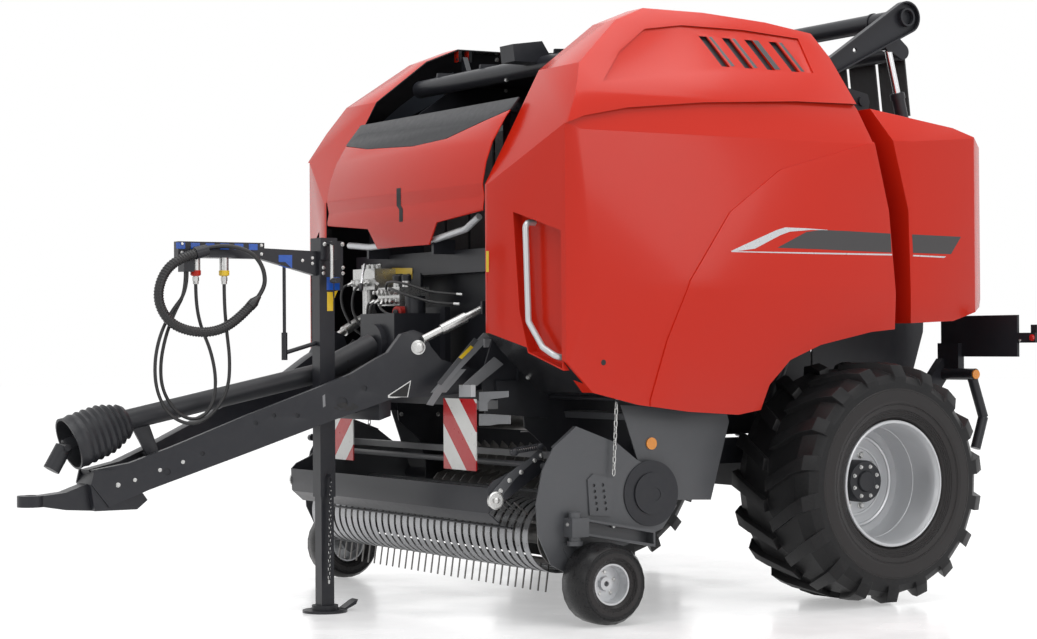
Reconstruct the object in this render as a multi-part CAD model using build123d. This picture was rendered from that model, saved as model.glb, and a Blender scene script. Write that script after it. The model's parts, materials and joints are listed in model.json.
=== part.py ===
from build123d import *
from math import atan2, cos, degrees, radians, sin, tan
import os

# A trailed round baler. Millimetres, +X towards the tractor, +Y to the machine's left, +Z up.
# Everything is drawn from the point on the floor under the middle of the axle, and save()
# moves it so that the origin is on the floor under the middle of the whole machine.
AXLE_X = -1398.0

os.makedirs("parts", exist_ok=True)

# Clearances
SEAT = 0.3
RUN = 5.0

# Bale chamber and the split between its fixed half and the tailgate
CHAMBER_WIDTH = 1210.0
CHAMBER_HALF = CHAMBER_WIDTH / 2
WALL = 8.0
WALL_OUT = CHAMBER_HALF + WALL
SPLIT_X = -160.0
SPLIT_GAP = 12.0
HINGE_X = -490.0
HINGE_Z = 2490.0
HINGE_PIN_R = 25.0
HINGE_PLATE = 20.0

# Road wheels and axle
WHEEL_R = 577.0
WHEEL_Y = WALL_OUT + 544
CARCASS_R = 548.0
TYRE_HALF = 300.0
RIM_SEAT_R = 286.0
RIM_LIP_R = 300.0
RIM_HALF = 263.0
STUB_R = 55.0
DRUM_R = 205.0
AXLE_TUBE = 130.0
AXLE_HALF = WALL_OUT + 187
RAIL_OUT = WALL_OUT + 127
RAIL_LOW = 660.0
RAIL_HIGH = 780.0

# Pickup, its reel and the feed rotor
PICKUP_X = 1665.0
PICKUP_Z = 385.0
BAND_R = 165.0
BAND_SHEET = 3.0
BAND_COUNT = 33
BAND_WIDTH = 44.0
TINE_TIP_R = 255.0
TINE_SIDE = 6.0
TINE_ROWS = 3
TINE_FIRST = -81.7
BAR_RING_R = 115.0
BAR_R = 14.0
REEL_CORE_R = 45.0
SIDE_PLATE_Y = WALL_OUT + 522
SIDE_PLATE = 8.0
STRIP_RAIL_REAR = 1415.0
STRIP_RAIL_FRONT = 1455.0
ROTOR_X = 1200.0
ROTOR_Z = 560.0
ROTOR_R = 200.0
ROTOR_CORE_R = 90.0
ROTOR_STARS = 13
ROTOR_SHAFT_R = 39.7
PIVOT_R = 30.0

# Gauge wheels
GAUGE_R = 184.0
GAUGE_RIM_R = 92.0
GAUGE_HALF = 95.0
GAUGE_X = 1553.0
GAUGE_Y = SIDE_PLATE_Y + 117
GAUGE_FACETS = 24

# Wind guard
GUARD_X = 1700.0
GUARD_Z = 700.0
GUARD_PIN_R = 14.0
GUARD_HALF = SIDE_PLATE_Y - 157

# Front end
EYE_X = 3745.0
EYE_Z = 571.0
EYE_R = 60.0
EYE_BORE_R = 25.0
EYE_THICK = 50.0
JACK_X = 2353.0
JACK_Y = 106.0
JACK_OUTER = 78.0
JACK_WALL = 6.0
JACK_FIT = 0.3
JACK_LOW = 540.0
JACK_TOP = 1690.0
FOOT_R = 105.0
FOOT = 12.0
GUARD_TUBE_R = 47.0

# Covers, hood and tail panels
COVER_WALL = 6.0
COVER_IN = WALL_OUT + 177
COVER_OUT = COVER_IN + 482
COVER_HINGE_Y = COVER_IN + 15
COVER_HINGE_Z = 2770.0
COVER_PIN_R = 8.0
COVER_RAISE = 9.0
HANDLE_R = 14.0
HOOD_HALF = COVER_IN - 15
HOOD_HINGE_X = 1646.0
HOOD_HINGE_Z = 2345.0
PANEL_WALL = 6.0
PANEL_IN = COVER_IN + 110
PANEL_OUT = COVER_OUT - 10

# Belt tension arm and its cylinders
ARM_X = -96.0
ARM_Z = 2622.0
ARM_Y = WALL_OUT + 232
ARM_PLATE = 12.0
ARM_TUBE_R = 47.0
ARM_TUBE_X = -592.0
ARM_TUBE_Z = 2903.0
ARM_ROLLER = (-786.0, 2768.0)
ARM_ROLLER_R = 45.0
TENSION_PIN = (-500.0, 2762.0)
TENSION_BASE = (-690.0, 2050.0)
TENSION_Y = ARM_Y - 20 - SEAT

# Tailgate lift cylinders
LIFT_BASE = (200.0, 860.0)
LIFT_PIN = (-330.0, 2120.0)
LIFT_Y = WALL_OUT + 69


def save(name, shape):
    """Writes one piece, moved to the machine's own origin."""
    export_step(Pos(AXLE_X, 0, 0) * shape, f"parts/{name}.step")


def save_pair(name, shape):
    """Writes a left piece and its mirror image on the right."""
    save(f"{name}_left", shape)
    save(f"{name}_right", mirrored(shape))


def mirrored(shape):
    return mirror(shape, about=Plane.XZ)


def both(shape):
    """One node that holds a piece and its mirror image."""
    return Compound([shape, mirrored(shape)])


def slab(outline, low, high):
    """A plate with its outline in the XZ plane, from Y = low to Y = high."""
    edge = Polyline(*[(x, low, z) for x, z in outline], close=True)
    return extrude(make_face(edge), amount=high - low, dir=(0, 1, 0))


def front(outline, low, high):
    """A plate with its outline in the YZ plane, from X = low to X = high."""
    edge = Polyline(*[(low, y, z) for y, z in outline], close=True)
    return extrude(make_face(edge), amount=high - low, dir=(1, 0, 0))


def block(x0, x1, y0, y1, z0, z1):
    return Pos((x0 + x1) / 2, (y0 + y1) / 2, (z0 + z1) / 2) * Box(x1 - x0, y1 - y0, z1 - z0)


def rod_x(y, z, radius, x0, x1):
    return Pos((x0 + x1) / 2, y, z) * Rot(0, 90, 0) * Cylinder(radius, x1 - x0)


def rod_y(x, z, radius, y0, y1):
    return Pos(x, (y0 + y1) / 2, z) * Rot(90, 0, 0) * Cylinder(radius, y1 - y0)


def rod_z(x, y, radius, z0, z1):
    return Pos(x, y, (z0 + z1) / 2) * Cylinder(radius, z1 - z0)


def rod(start, end, radius):
    """A straight round bar between two points."""
    axis = Vector(*end) - Vector(*start)
    middle = (Vector(*end) + Vector(*start)) * 0.5
    return Plane(origin=middle, z_dir=axis) * Cylinder(radius, axis.length)


def bar(start, end, side):
    """A straight square bar between two points."""
    axis = Vector(*end) - Vector(*start)
    middle = (Vector(*end) + Vector(*start)) * 0.5
    return Plane(origin=middle, x_dir=(0, 1, 0), z_dir=axis) * Box(side, side, axis.length)


def bent_tube(points, radius, bend):
    """A round tube along straight runs joined by arcs of one radius."""
    path = FilletPolyline(*points, radius=bend)
    return sweep(Plane(origin=path @ 0, z_dir=path % 0) * Circle(radius), path=path)


def turned(profile, x, y, z):
    """A ring from a profile of (across, radius) points, spun about an axis along Y."""
    edge = Polyline(*[(0, across, radius) for across, radius in profile], close=True)
    return Pos(x, y, z) * revolve(make_face(edge), axis=Axis.Y)


def faceted(profile, facets, x, y, z):
    """The same ring with flat facets round it, so that its mesh stays light."""
    step = 360 / facets
    faces = []
    for index in range(facets):
        angles = (step * index, step * (index + 1))
        for (y0, r0), (y1, r1) in zip(profile, profile[1:] + profile[:1]):
            corners = [(r0 * cos(radians(angles[0])), y0, r0 * sin(radians(angles[0]))),
                       (r1 * cos(radians(angles[0])), y1, r1 * sin(radians(angles[0]))),
                       (r1 * cos(radians(angles[1])), y1, r1 * sin(radians(angles[1]))),
                       (r0 * cos(radians(angles[1])), y0, r0 * sin(radians(angles[1])))]
            faces.append(make_face(Polyline(*corners, close=True)).face())
    return Pos(x, y, z) * Solid(Shell(faces))


def polar(x, z, radius, angle):
    return x + radius * cos(radians(angle)), z + radius * sin(radians(angle))

# Chassis: axle beam, stubs, brake drums and the two rails beside the chamber
beam_low = WHEEL_R - AXLE_TUBE / 2
beam_high = WHEEL_R + AXLE_TUBE / 2
half_beam = AXLE_TUBE / 2
HUB_END = WHEEL_Y + 40
DRUM_IN = WHEEL_Y - 257
DRUM_OUT = WHEEL_Y - 72
RAIL_FRONT = 900
chassis_side = [
    rod_y(0, WHEEL_R, STUB_R, AXLE_HALF, HUB_END),
    rod_y(0, WHEEL_R, DRUM_R, DRUM_IN, DRUM_OUT),
    block(-half_beam, RAIL_FRONT, WALL_OUT, RAIL_OUT, RAIL_LOW, RAIL_HIGH),
    slab([(-half_beam, beam_low), (half_beam, beam_low), (260, RAIL_LOW), (-half_beam, RAIL_LOW)],
         WALL_OUT + 20, RAIL_OUT - 20),
    slab([(LIFT_BASE[0] - 60, RAIL_HIGH), (LIFT_BASE[0] + 60, RAIL_HIGH), (LIFT_BASE[0] + 30, 890),
          (LIFT_BASE[0] - 30, 890)], LIFT_Y + 20 + SEAT, RAIL_OUT - 10),
]
chassis = block(-half_beam, half_beam, -AXLE_HALF, AXLE_HALF, beam_low, beam_high)
chassis = chassis + chassis_side + [mirrored(piece) for piece in chassis_side]
save("chassis", chassis)

# Fixed chamber walls, with the tailgate's hinge plate, the pickup's pivot and its chain's hook
HOOK_X = 1420.0
HOOK_Z = 1000.0
CHAIN_Y = SIDE_PLATE_Y + 36
WALL_OUTLINE = [
    (SPLIT_X, 2560), (SPLIT_X, RAIL_HIGH + 20), (820, 790), (920, 600), (985, 450), (1060, 380),
    (1200, 352), (1330, 395), (1395, 480), (1405, 560), (1400, 640), (1440, 760), (1560, 860),
    (1600, 1300), (1600, 2250), (1420, 2450), (1200, 2600), (0, 2600),
]
HINGE_PLATE_OUTLINE = [
    (-60, 2560), (-60, 2350), (-200, 2350), (-530, 2440), (-545, 2490), (-530, 2530), (-300, 2575),
]
ARM_POST_OUTLINE = [
    (-150, 2560), (-45, 2560), (-45, 2610), (-60, 2668), (-130, 2668), (-150, 2610),
]
wall = slab(WALL_OUTLINE, CHAMBER_HALF, WALL_OUT)
hinge_plate_in = WALL_OUT + RUN
hinge_plate_out = hinge_plate_in + HINGE_PLATE
side_wall = wall + [
    slab(HINGE_PLATE_OUTLINE, hinge_plate_in, hinge_plate_out),
    block(-60, 40, WALL_OUT, hinge_plate_out, 2350, 2560),
    block(-150, -60, WALL_OUT, hinge_plate_in, 2360, 2550),
    rod_y(HINGE_X, HINGE_Z, HINGE_PIN_R, CHAMBER_HALF - 15, hinge_plate_out + 12),
    rod_y(ROTOR_X, ROTOR_Z, PIVOT_R, WALL_OUT, SIDE_PLATE_Y + SIDE_PLATE + 12),
    rod_y(ROTOR_X, ROTOR_Z, 150, WALL_OUT, WALL_OUT + 60),
    slab(ARM_POST_OUTLINE, WALL_OUT, WALL_OUT + 12),
    rod_y(ARM_X, ARM_Z, 20, WALL_OUT, ARM_Y + ARM_PLATE + 15),
]
side_wall += rod_y(HOOK_X, HOOK_Z, 9, WALL_OUT, CHAIN_Y + 20)
side_wall += rod_y(HOOK_X, HOOK_Z, 16, CHAIN_Y + 12, CHAIN_Y + 20)
side_wall -= rod_y(ROTOR_X, ROTOR_Z, ROTOR_SHAFT_R + SEAT, CHAMBER_HALF - 5, WALL_OUT + 30)
save_pair("side_wall", side_wall)

# Front frame: cheeks, cross beams, bulkhead, the hood's hinge posts and the hand rail's feet
CHEEK = [(1430, 900), (1780, 930), (1800, 1100), (1730, 1300), (1730, 1720), (1440, 1720)]
BEAM_FRONT = 1730.0
BEAM_REAR = 1610.0
POST_IN = WALL_OUT + 12
POST_OUT = POST_IN + 70
RAIL_ROUTE = [(1835, -612, 1755), (1835, -398, 1738), (1835, 253, 1748), (1835, 548, 1786),
    (1835, 669, 1838)]
RAIL_R = 16.0
cheek = slab(CHEEK, WALL_OUT, WALL_OUT + 12)
post = block(1616, 1676, POST_IN, POST_OUT, 1690, 2320)
post += slab([(1616, 2320), (1676, 2320), (1666, 2365), (1626, 2365)], POST_IN, POST_OUT)
post += rod_y(HOOD_HINGE_X, HOOD_HINGE_Z, 10, POST_IN - 24, POST_OUT + 24)
link_lug = block(1612, 1765, 560, 575, 1390, 1450)
rail_feet = [block(BEAM_FRONT - 5, 1845, y - 10, y + 10, 1680, 1750) for y in (-398, 253)]
rail_hole = bent_tube(RAIL_ROUTE, RAIL_R + SEAT, 60)
front_frame = block(BEAM_REAR, BEAM_FRONT, -RAIL_OUT, RAIL_OUT, 1590, 1700) + [
    block(BEAM_REAR, BEAM_FRONT, -640, 640, 960, 1080),
    block(1606, 1612, -640, 640, 1080, 1590),
    block(1720, 1735, -193, -60, 1440, 1600),
    cheek, mirrored(cheek), post, mirrored(post), link_lug, mirrored(link_lug),
]
front_frame = front_frame + rail_feet - rail_hole
save("front_frame", front_frame)
save("front_rail", bent_tube(RAIL_ROUTE, RAIL_R, 60))

# Rollers and belts in the fixed half
ROLLERS = (  # X, Z, radius
    (1060, 900, 90), (1340, 1090, 79.7), (1335, 2260, 55), (300, 2480, 71.7),
)
save("chamber_rollers", Compound([
    rod_y(x, z, r, -CHAMBER_HALF, CHAMBER_HALF) for x, z, r in ROLLERS]))
BELT_COUNT = 5
BELT_PITCH = CHAMBER_WIDTH * 0.195
BELT_WIDTH = BELT_PITCH - 26
FRONT_BELT = [
    (1428, 1090), (1418, 2290), (1330, 2365), (300, 2562), (299, 2554), (1326, 2357), (1410, 2286),
    (1420, 1090),
]
REAR_BELT = [
    (-640, 1000), (-790, 1250), (-820, 1500), (-790, 1900), (-700, 2150), (-692, 2147), (-782, 1898),
    (-812, 1500), (-782, 1252), (-632, 1004),
]
ARM_BELT = [(-831.3, 2768), (-839.3, 2768), (-878, 2440), (-870, 2440)]


def belts(outline):
    rows = [(index - (BELT_COUNT - 1) / 2) * BELT_PITCH for index in range(BELT_COUNT)]
    return Compound([slab(outline, y - BELT_WIDTH / 2, y + BELT_WIDTH / 2) for y in rows])


save("front_belts", belts(FRONT_BELT))
save("rear_belts", belts(REAR_BELT))
save("arm_belts", belts(ARM_BELT))

# Roof frame between the covers, with the covers' hinge posts and the tube behind the hood
COVER_HINGES = ((450, 2804), (1040, 2819))  # X, top of the lugs
ROOF_TUBE = (1330, 2590)
roof_parts = [
    block(-40, 20, -COVER_IN + 5, COVER_IN - 5, 2610, 2660),
    block(1180, 1240, -COVER_IN + 5, COVER_IN - 5, 2610, 2660),
    rod_y(ROOF_TUBE[0], ROOF_TUBE[1], 45, -COVER_IN + 20, COVER_IN - 20),
]
for x, _ in COVER_HINGES:
    for way in (1, -1):
        post = front([(WALL_OUT + 107, 2600), (COVER_IN - 6, 2600), (COVER_HINGE_Y + 12, COVER_HINGE_Z - 12),
                      (COVER_HINGE_Y + 12, COVER_HINGE_Z + 12), (COVER_HINGE_Y - 14, COVER_HINGE_Z + 12),
                      (WALL_OUT + 107, 2640)], x - 15, x + 15)
        post += rod_x(COVER_HINGE_Y, COVER_HINGE_Z, COVER_PIN_R, x - 45, x + 45)
        post += block(x - 40, x + 40, WALL_OUT, WALL_OUT + 117, 2600, 2640)
        roof_parts.append(post if way > 0 else mirrored(post))
GUSSET = [(1190, 2602), (1190, 2655), (1240, 2660), (1345, 2655), (1360, 2560), (1290, 2560)]
for y in (-560, -130, 390, 560):
    roof_parts.append(slab(GUSSET, y - 8, y + 8))
roof_parts.append(slab([(1300, 2640), (1345, 2600), (1500, 2600), (1511, 2680), (1345, 2705)], 330, 450))
roof = block(-40, 1240, -WALL_OUT - 40, WALL_OUT + 40, 2600, 2610) + roof_parts
save("roof_frame", roof)

# Gearbox with its mounting plate and the oil can on it
gearbox = block(1760, 2010, -170, 170, 1090, 1400) + [
    block(BEAM_FRONT, 1760, -220, 220, 1080, 1430),
    rod_z(1850, 90, 50, 1390, 1484),
    rod_x(0, 1245, 105, 2000, 2040),
]
save("gearbox", gearbox)

# Drawbar: two box beams that meet at the hitch block, and the guard tube's bracket between them
BEAM_OUTLINE = [
    (3483, 700), (3315, 730), (3123, 799), (2767, 941), (2451, 1058), (2296, 1120), (2176, 1189),
    (2125, 1214),
    (2060, 1300), (2000, 1318), (1945, 1296), (1920, 1240), (1870, 1180), (1660, 1120), (1660, 1040),
    (1870, 1010), (2096, 1003), (2416, 895), (2768, 769), (3226, 609), (3394, 541),
]
BEAM_ANGLE = 14.5
BEAM_WIDTH = 60.0
BEAM_PIVOT = (3400, 60)
BEAM_HOLES = (  # X, Z, radius
    (2554, 930, 11), (2662, 932, 11), (2746, 899, 11), (2989, 765, 11), (3149, 687, 17), (2240, 1050, 14),
    (2345, 985, 26),
)
beam = slab(BEAM_OUTLINE, -BEAM_WIDTH / 2, BEAM_WIDTH / 2)
for x, z, radius in BEAM_HOLES:
    beam -= rod_y(x, z, radius, BEAM_WIDTH / 2 - 8, BEAM_WIDTH)
swing = Pos(BEAM_PIVOT[0], BEAM_PIVOT[1], 0) * Rot(0, 0, -BEAM_ANGLE) * Pos(-BEAM_PIVOT[0], 0, 0)
beam = swing * beam
HITCH_BLOCK = [(3460, 700), (3500, 640), (3480, 520), (3280, 520), (3230, 560), (3330, 700)]
CROSS = [(2140, 920), (2200, 900), (2200, 1080), (2140, 1100)]
GUARD_START = (2300, 0, 1122)
GUARD_END = (3300, 0, 917)
guard_bracket = slab([(3130, 740), (3190, 740), (3262, 870), (3262, 915), (3195, 915)], -8, 8)
guard_bracket -= rod(GUARD_START, GUARD_END, GUARD_TUBE_R + SEAT)
hitch_plate = slab([(3320, 700), (3486, 701), (3500, 640), (3416, 535), (3350, 560)], 85, 97)
drawbar = beam + [
    mirrored(beam), slab(HITCH_BLOCK, -85, 85), hitch_plate, mirrored(hitch_plate), slab(CROSS, -370, 370),
    block(3130, 3190, -100, 100, 735, 765), guard_bracket,
]
drawbar -= block(1500, BEAM_FRONT, -900, 900, 800, 1500)
save("drawbar", drawbar)

# Hitch eye
NECK = [(3500, 640), (3480, 520), (3600, 528), (3720, EYE_Z - 22), (3720, EYE_Z + 22), (3600, 605)]
eye = rod_z(EYE_X, 0, EYE_R, EYE_Z - EYE_THICK / 2, EYE_Z + EYE_THICK / 2)
eye = eye + slab(NECK, -45, 45) - rod_z(EYE_X, 0, EYE_BORE_R, EYE_Z - 100, EYE_Z + 100)
save("hitch_eye", eye)

# Turnbuckles from the drawbar to the front frame
LINK_START = (1735, 541.7, 1420)
LINK_END = (2020, 467.2, 1275)
link_axis = Vector(*LINK_END) - Vector(*LINK_START)
link = rod(LINK_START, LINK_END, 18)
link += rod(tuple(Vector(*LINK_START) + link_axis * 0.3), tuple(Vector(*LINK_START) + link_axis * 0.7), 25)
save("drawbar_links", both(link))

# Drive shaft: guard tube, ribbed cone with its open mouth, and the yoke that hangs out of it
CONE_END = (3572, 0, 816)
CONE_PROFILE = [  # along the cone from its rear, radius
    (0, 0), (0, 70), (18, 84), (30, 76), (48, 96), (60, 88), (78, 108), (90, 100), (108, 116), (122, 108),
    (140, 119), (154, 111), (172, 121), (186, 113), (204, 122), (218, 115), (240, 123), (262, 118),
    (286, 122),
    (286, 112), (200, 100), (200, 0),
]
cone_axis = Vector(*CONE_END) - Vector(*GUARD_END)
cone_face = make_face(Polyline(*[(radius, 0, along) for along, radius in CONE_PROFILE], close=True))
ribbed_cone = Plane(origin=GUARD_END, z_dir=cone_axis) * revolve(cone_face, axis=Axis.Z)
drive_shaft = rod(GUARD_START, GUARD_END, GUARD_TUBE_R) + [
    ribbed_cone,
    rod((3440, 0, 865), (3590, 0, 808), 30),
    rod_y(3592, 805, 15, -52, 52),
    rod((3592, 0, 805), (3650, 0, 705), 38),
    rod((2036, 0, 1245), (2310, 0, 1120), 60),
]
drive_shaft -= block(1700, 2040, -200, 200, 1000, 1500)
save("drive_shaft", drive_shaft)

# Hanging chains: flat links, every other one turned, along a straight line
LINK_LONG = 34.0
LINK_WIDE = 20.0
LINK_THICK = 6.0


def chain(top, bottom, scale):
    """Links of the real pitch from the top point to the bottom one, each held in the next."""
    start = Vector(*top)
    axis = Vector(*bottom) - start
    pitch = LINK_LONG * scale * 0.8
    count = int(axis.length / pitch)
    pieces = []
    for index in range(count):
        middle = start + axis.normalized() * pitch * (index + 0.5)
        wide, thick = (LINK_WIDE * scale, LINK_THICK * scale)
        if index % 2:
            wide, thick = thick, wide
        link_plane = Plane(origin=middle, x_dir=(0, 1, 0), z_dir=axis)
        pieces.append(link_plane * Box(wide, thick, LINK_LONG * scale))
    return pieces[0] + pieces[1:]


# Parking jack: sleeve clamped to the drawbar's cross plate, and the leg that slides in it
half_out = JACK_OUTER / 2
half_hole = half_out - JACK_WALL
half_leg = half_hole - JACK_FIT
CRANK_Y = JACK_Y + 90
jack_hole = block(JACK_X - half_hole, JACK_X + half_hole, JACK_Y - half_hole, JACK_Y + half_hole, 0,
    JACK_TOP - 30)
sleeve = block(JACK_X - half_out, JACK_X + half_out, JACK_Y - half_out, JACK_Y + half_out, JACK_LOW,
    JACK_TOP) + [
    block(JACK_X - 48, JACK_X + half_out, JACK_Y - 52, JACK_Y + 52, JACK_TOP - 40, JACK_TOP + 62),
    block(2251, JACK_X - half_out + 2, JACK_Y - 6, JACK_Y + 6, 1508, 1740),
    block(2200, JACK_X - half_out + 2, JACK_Y - 40, JACK_Y + 40, 930, 1060),
    block(JACK_X - half_out - 8, JACK_X + half_out + 8, JACK_Y - half_out - 8, JACK_Y + half_out + 8, 985,
        1035),
    rod_y(JACK_X, JACK_TOP + 35, 10, JACK_Y + 50, CRANK_Y + 13),
    rod_z(JACK_X, CRANK_Y, 8, 1544, JACK_TOP + 35),
    rod_y(JACK_X, 1550, 10, CRANK_Y - 5, CRANK_Y + 60),
]
PIN_Z = 640.0
pin_y = JACK_Y + half_out
sleeve += rod_y(JACK_X, PIN_Z, 9, pin_y, pin_y + 42)
sleeve += chain((JACK_X, pin_y + 30, PIN_Z - 6), (JACK_X + 13, pin_y + 30, 140), 0.7)
save("jack_sleeve", sleeve - jack_hole)
FOOT_HORN = [(JACK_X - 95, 6), (JACK_X - 150, 30), (JACK_X - 160, 52), (JACK_X - 140, 44), (JACK_X - 90, 14)]
leg = block(JACK_X - half_leg, JACK_X + half_leg, JACK_Y - half_leg, JACK_Y + half_leg, FOOT, 1150) + [
    rod_z(JACK_X, JACK_Y, FOOT_R, 0, FOOT),
    rod_z(JACK_X, JACK_Y, 62, FOOT, FOOT + 22),
    slab(FOOT_HORN, JACK_Y - 30, JACK_Y + 30),
]
save("jack_leg", leg)

# Hose holder ahead of the jack: arm, channel, shelf with the couplings' seats, and the shaft's hanger
SLEEVE_D = 42.0
HOSE_D = 16.0
PIPE_D = 20.0
SLEEVE_ROUTE = [
    (3050, 215, 1665), (3140, 215, 1640), (3215, 215, 1560), (3235, 215, 1450), (3175, 215, 1350),
    (3060, 215, 1310), (2940, 215, 1315), (2840, 215, 1370), (2770, 215, 1440),
]
HOSE_A_ROUTE = [
    (3020, 150, 1530), (3020, 150, 1450), (2998, 150, 1340), (2945, 150, 1225), (2920, 150, 1090),
    (2940, 150, 970),
    (3020, 150, 910), (3115, 150, 945), (3185, 150, 1050), (3195, 150, 1165), (3170, 150, 1290),
    (3125, 150, 1400), (3070, 150, 1495), (3070, 150, 1585),
]
HOSE_B_ROUTE = [
    (2890, 172, 1530), (2890, 172, 1450), (2880, 172, 1325), (2862, 172, 1185), (2872, 172, 1050),
    (2945, 172, 940),
    (3050, 172, 890), (3160, 172, 935), (3222, 172, 1045), (3232, 172, 1175), (3205, 172, 1300),
    (3150, 172, 1405), (3072, 172, 1495), (3072, 172, 1585),
]
PIPE_ROUTE = [
    (2770, 215, 1440), (2707, 215, 1503), (2704, 208, 1595), (2750, 198, 1668), (2828, 185, 1700),
    (2910, 168, 1706), (2985, 150, 1690),
]
SHELF_LOW = 1650.0
SHELF_HIGH = 1660.0


def gland(route, radius, length):
    """A short round seat, its face square to the cord's first run."""
    start = Vector(*route[0])
    back = (start - Vector(*route[1])).normalized() * length
    return rod(tuple(start), tuple(start + back), radius)


pipe_seat = gland(PIPE_ROUTE[::-1], 17, 40)
holder = block(2665, 3093, 75, 125, SHELF_LOW, 1724) + [
    slab([(JACK_X + half_out, 1575), (JACK_X + half_out, 1690), (2680, 1700), (2680, 1650)], 80, 120),
    block(2845, 3100, 120, 193, SHELF_LOW, SHELF_HIGH),
    block(3045, 3095, 125, 193, 1585, SHELF_LOW + 5),
    gland(SLEEVE_ROUTE, 27, 60), pipe_seat, block(2990, 3025, 120, 168, SHELF_HIGH - 5, 1690),
    rod_z(2553, 100, 8, 1300, 1640),
    rod_z(2553, 100, 14, 1182, 1310),
    rod((2553, 100, 1215), (JACK_X, 100, 1270), 10),
]
holder -= block(JACK_X - half_out, JACK_X + half_out, JACK_Y - half_out, JACK_Y + half_out, 1000, JACK_TOP)
save("hose_holder", holder)
COUPLINGS = ((3020, 150), (2890, 172))  # X, Y
save("couplings", Compound([
    rod_z(x, y, 21, 1590, SHELF_LOW) + rod_z(x, y, 13, 1530, 1592) for x, y in COUPLINGS]))


def cord(name, route, diameter):
    """A tube along straight runs joined by the largest arcs that its runs allow."""
    radii = []
    for before, corner, after in zip(route, route[1:], route[2:]):
        first = Vector(*corner) - Vector(*before)
        second = Vector(*after) - Vector(*corner)
        half_turn = radians(first.get_angle(second) / 2)
        radii.append(0.45 * min(first.length, second.length) / tan(half_turn))
    path = FilletPolyline(*route, radius=radii)
    tube = sweep(Plane(origin=path @ 0, z_dir=path % 0) * Circle(diameter / 2), path=path)
    print(name, "length", round(path.length), "radii", [round(radius) for radius in radii])
    print(name, "volume", round(tube.volume), "section x length",
        round(path.length * 3.14159 * diameter ** 2 / 4))
    save(name, tube)


cord("hose_sleeve", SLEEVE_ROUTE, SLEEVE_D)
cord("hose_a", HOSE_A_ROUTE, HOSE_D)
cord("hose_b", HOSE_B_ROUTE, HOSE_D)
cord("hose_pipe", PIPE_ROUTE, PIPE_D)

# Lower side shields with the hook of the pickup's chain
SHIELD_IN = SIDE_PLATE_Y - 29
SHIELD = [
    (1355, 970), (1257, 694), (1192, 532), (850, 518), (741, 880), (760, 935), (1076, 950),
]
shield = slab(SHIELD, SHIELD_IN, SHIELD_IN + 6)
shield += block(860, 895, RAIL_OUT, SHIELD_IN, 700, 760)
shield += slab([(1250, 900), (1330, 900), (1340, 930), (1250, 935)], WALL_OUT, SHIELD_IN)
shield -= rod_y(ROTOR_X, ROTOR_Z, PIVOT_R + SEAT, SHIELD_IN - 10, SHIELD_IN + 20)
save("lower_shields", both(shield))

# Chains that the pickup hangs in
save("pickup_chains", both(chain((HOOK_X, CHAIN_Y, HOOK_Z - 13), (HOOK_X + 20, CHAIN_Y, 640), 1.0)))

# Rear lamp boards on their arms
lamp_arm = slab([(-half_beam, beam_low), (-half_beam, beam_high), (-650, 880), (-890, 1160), (-940, 1160),
    (-940, 1080),
                 (-740, 840)], AXLE_HALF - 55, AXLE_HALF - 5)
lamp_board = lamp_arm + [
    block(-940, -925, AXLE_HALF - 55, 1300, 1170, 1380),
    block(-940, -900, AXLE_HALF - 55, 900, 1100, 1240),
    block(-955, -925, 1300, 1425, 1240, 1290),
    block(-960, -935, 1385, 1425, 1290, 1330),
    rod_y(-905, 1080, 30, AXLE_HALF - 5, 1020),
    rod((-905, 990, 1080), (-985, 990, 860), 26),
    rod((-985, 990, 860), (-930, 990, 700), 26),
]
save("lamp_boards", both(lamp_board))
save("side_reflectors", both(Compound([
    rod_y(1190, 790, 28, SHIELD_IN + 6, SHIELD_IN + 14), rod_y(-905, 1080, 24, 1020, 1028)])))

# Warning boards and drive guards on brackets from the front frame's cheeks
board = block(1900, 1906, 452, 746, 672, 1000) + block(BEAM_FRONT, 1900, WALL_OUT + 12, WALL_OUT + 40, 950,
    990)
save("warning_boards", both(board))
GUARD_OUTER = [(1734, 1191), (1685, 1156), (1829, 1058), (1909, 1059)]
GUARD_INNER = [(1864, 1135), (1944, 1136), (2051, 1030), (1972, 1029)]
STRAP = [(1715, 1300), (1771, 1303), (1986, 1105), (2078, 976), (2045, 970), (1950, 1090)]
drive_guard = slab(GUARD_OUTER, WALL_OUT + 12, WALL_OUT + 18)
drive_strap = slab(STRAP, WALL_OUT - 20, WALL_OUT - 14) + [
    slab(GUARD_INNER, WALL_OUT - 26, WALL_OUT - 20),
    block(1740, 1775, WALL_OUT - 14, WALL_OUT, 1235, 1275),
]
save("drive_guards", Compound([drive_guard, mirrored(drive_guard), drive_strap, mirrored(drive_strap)]))

# Hydraulic valves under the upper beam
valves = [
    block(BEAM_FRONT, 1850, -549, -320, 1525, 1630) + [
        rod_z(1800, -475, 32, 1400, 1530), rod((1850, -335, 1575), (1900, -200, 1550), 8),
        rod_y(1790, 1578, 26, -570, -540)],
    block(1735, 1900, -193, 24, 1440, 1529) + [
        rod_z(1830, -120, 22, 1525, 1575), rod_z(1830, -30, 22, 1525, 1565)],
]
save("hydraulic_valves", Compound(valves))

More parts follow.
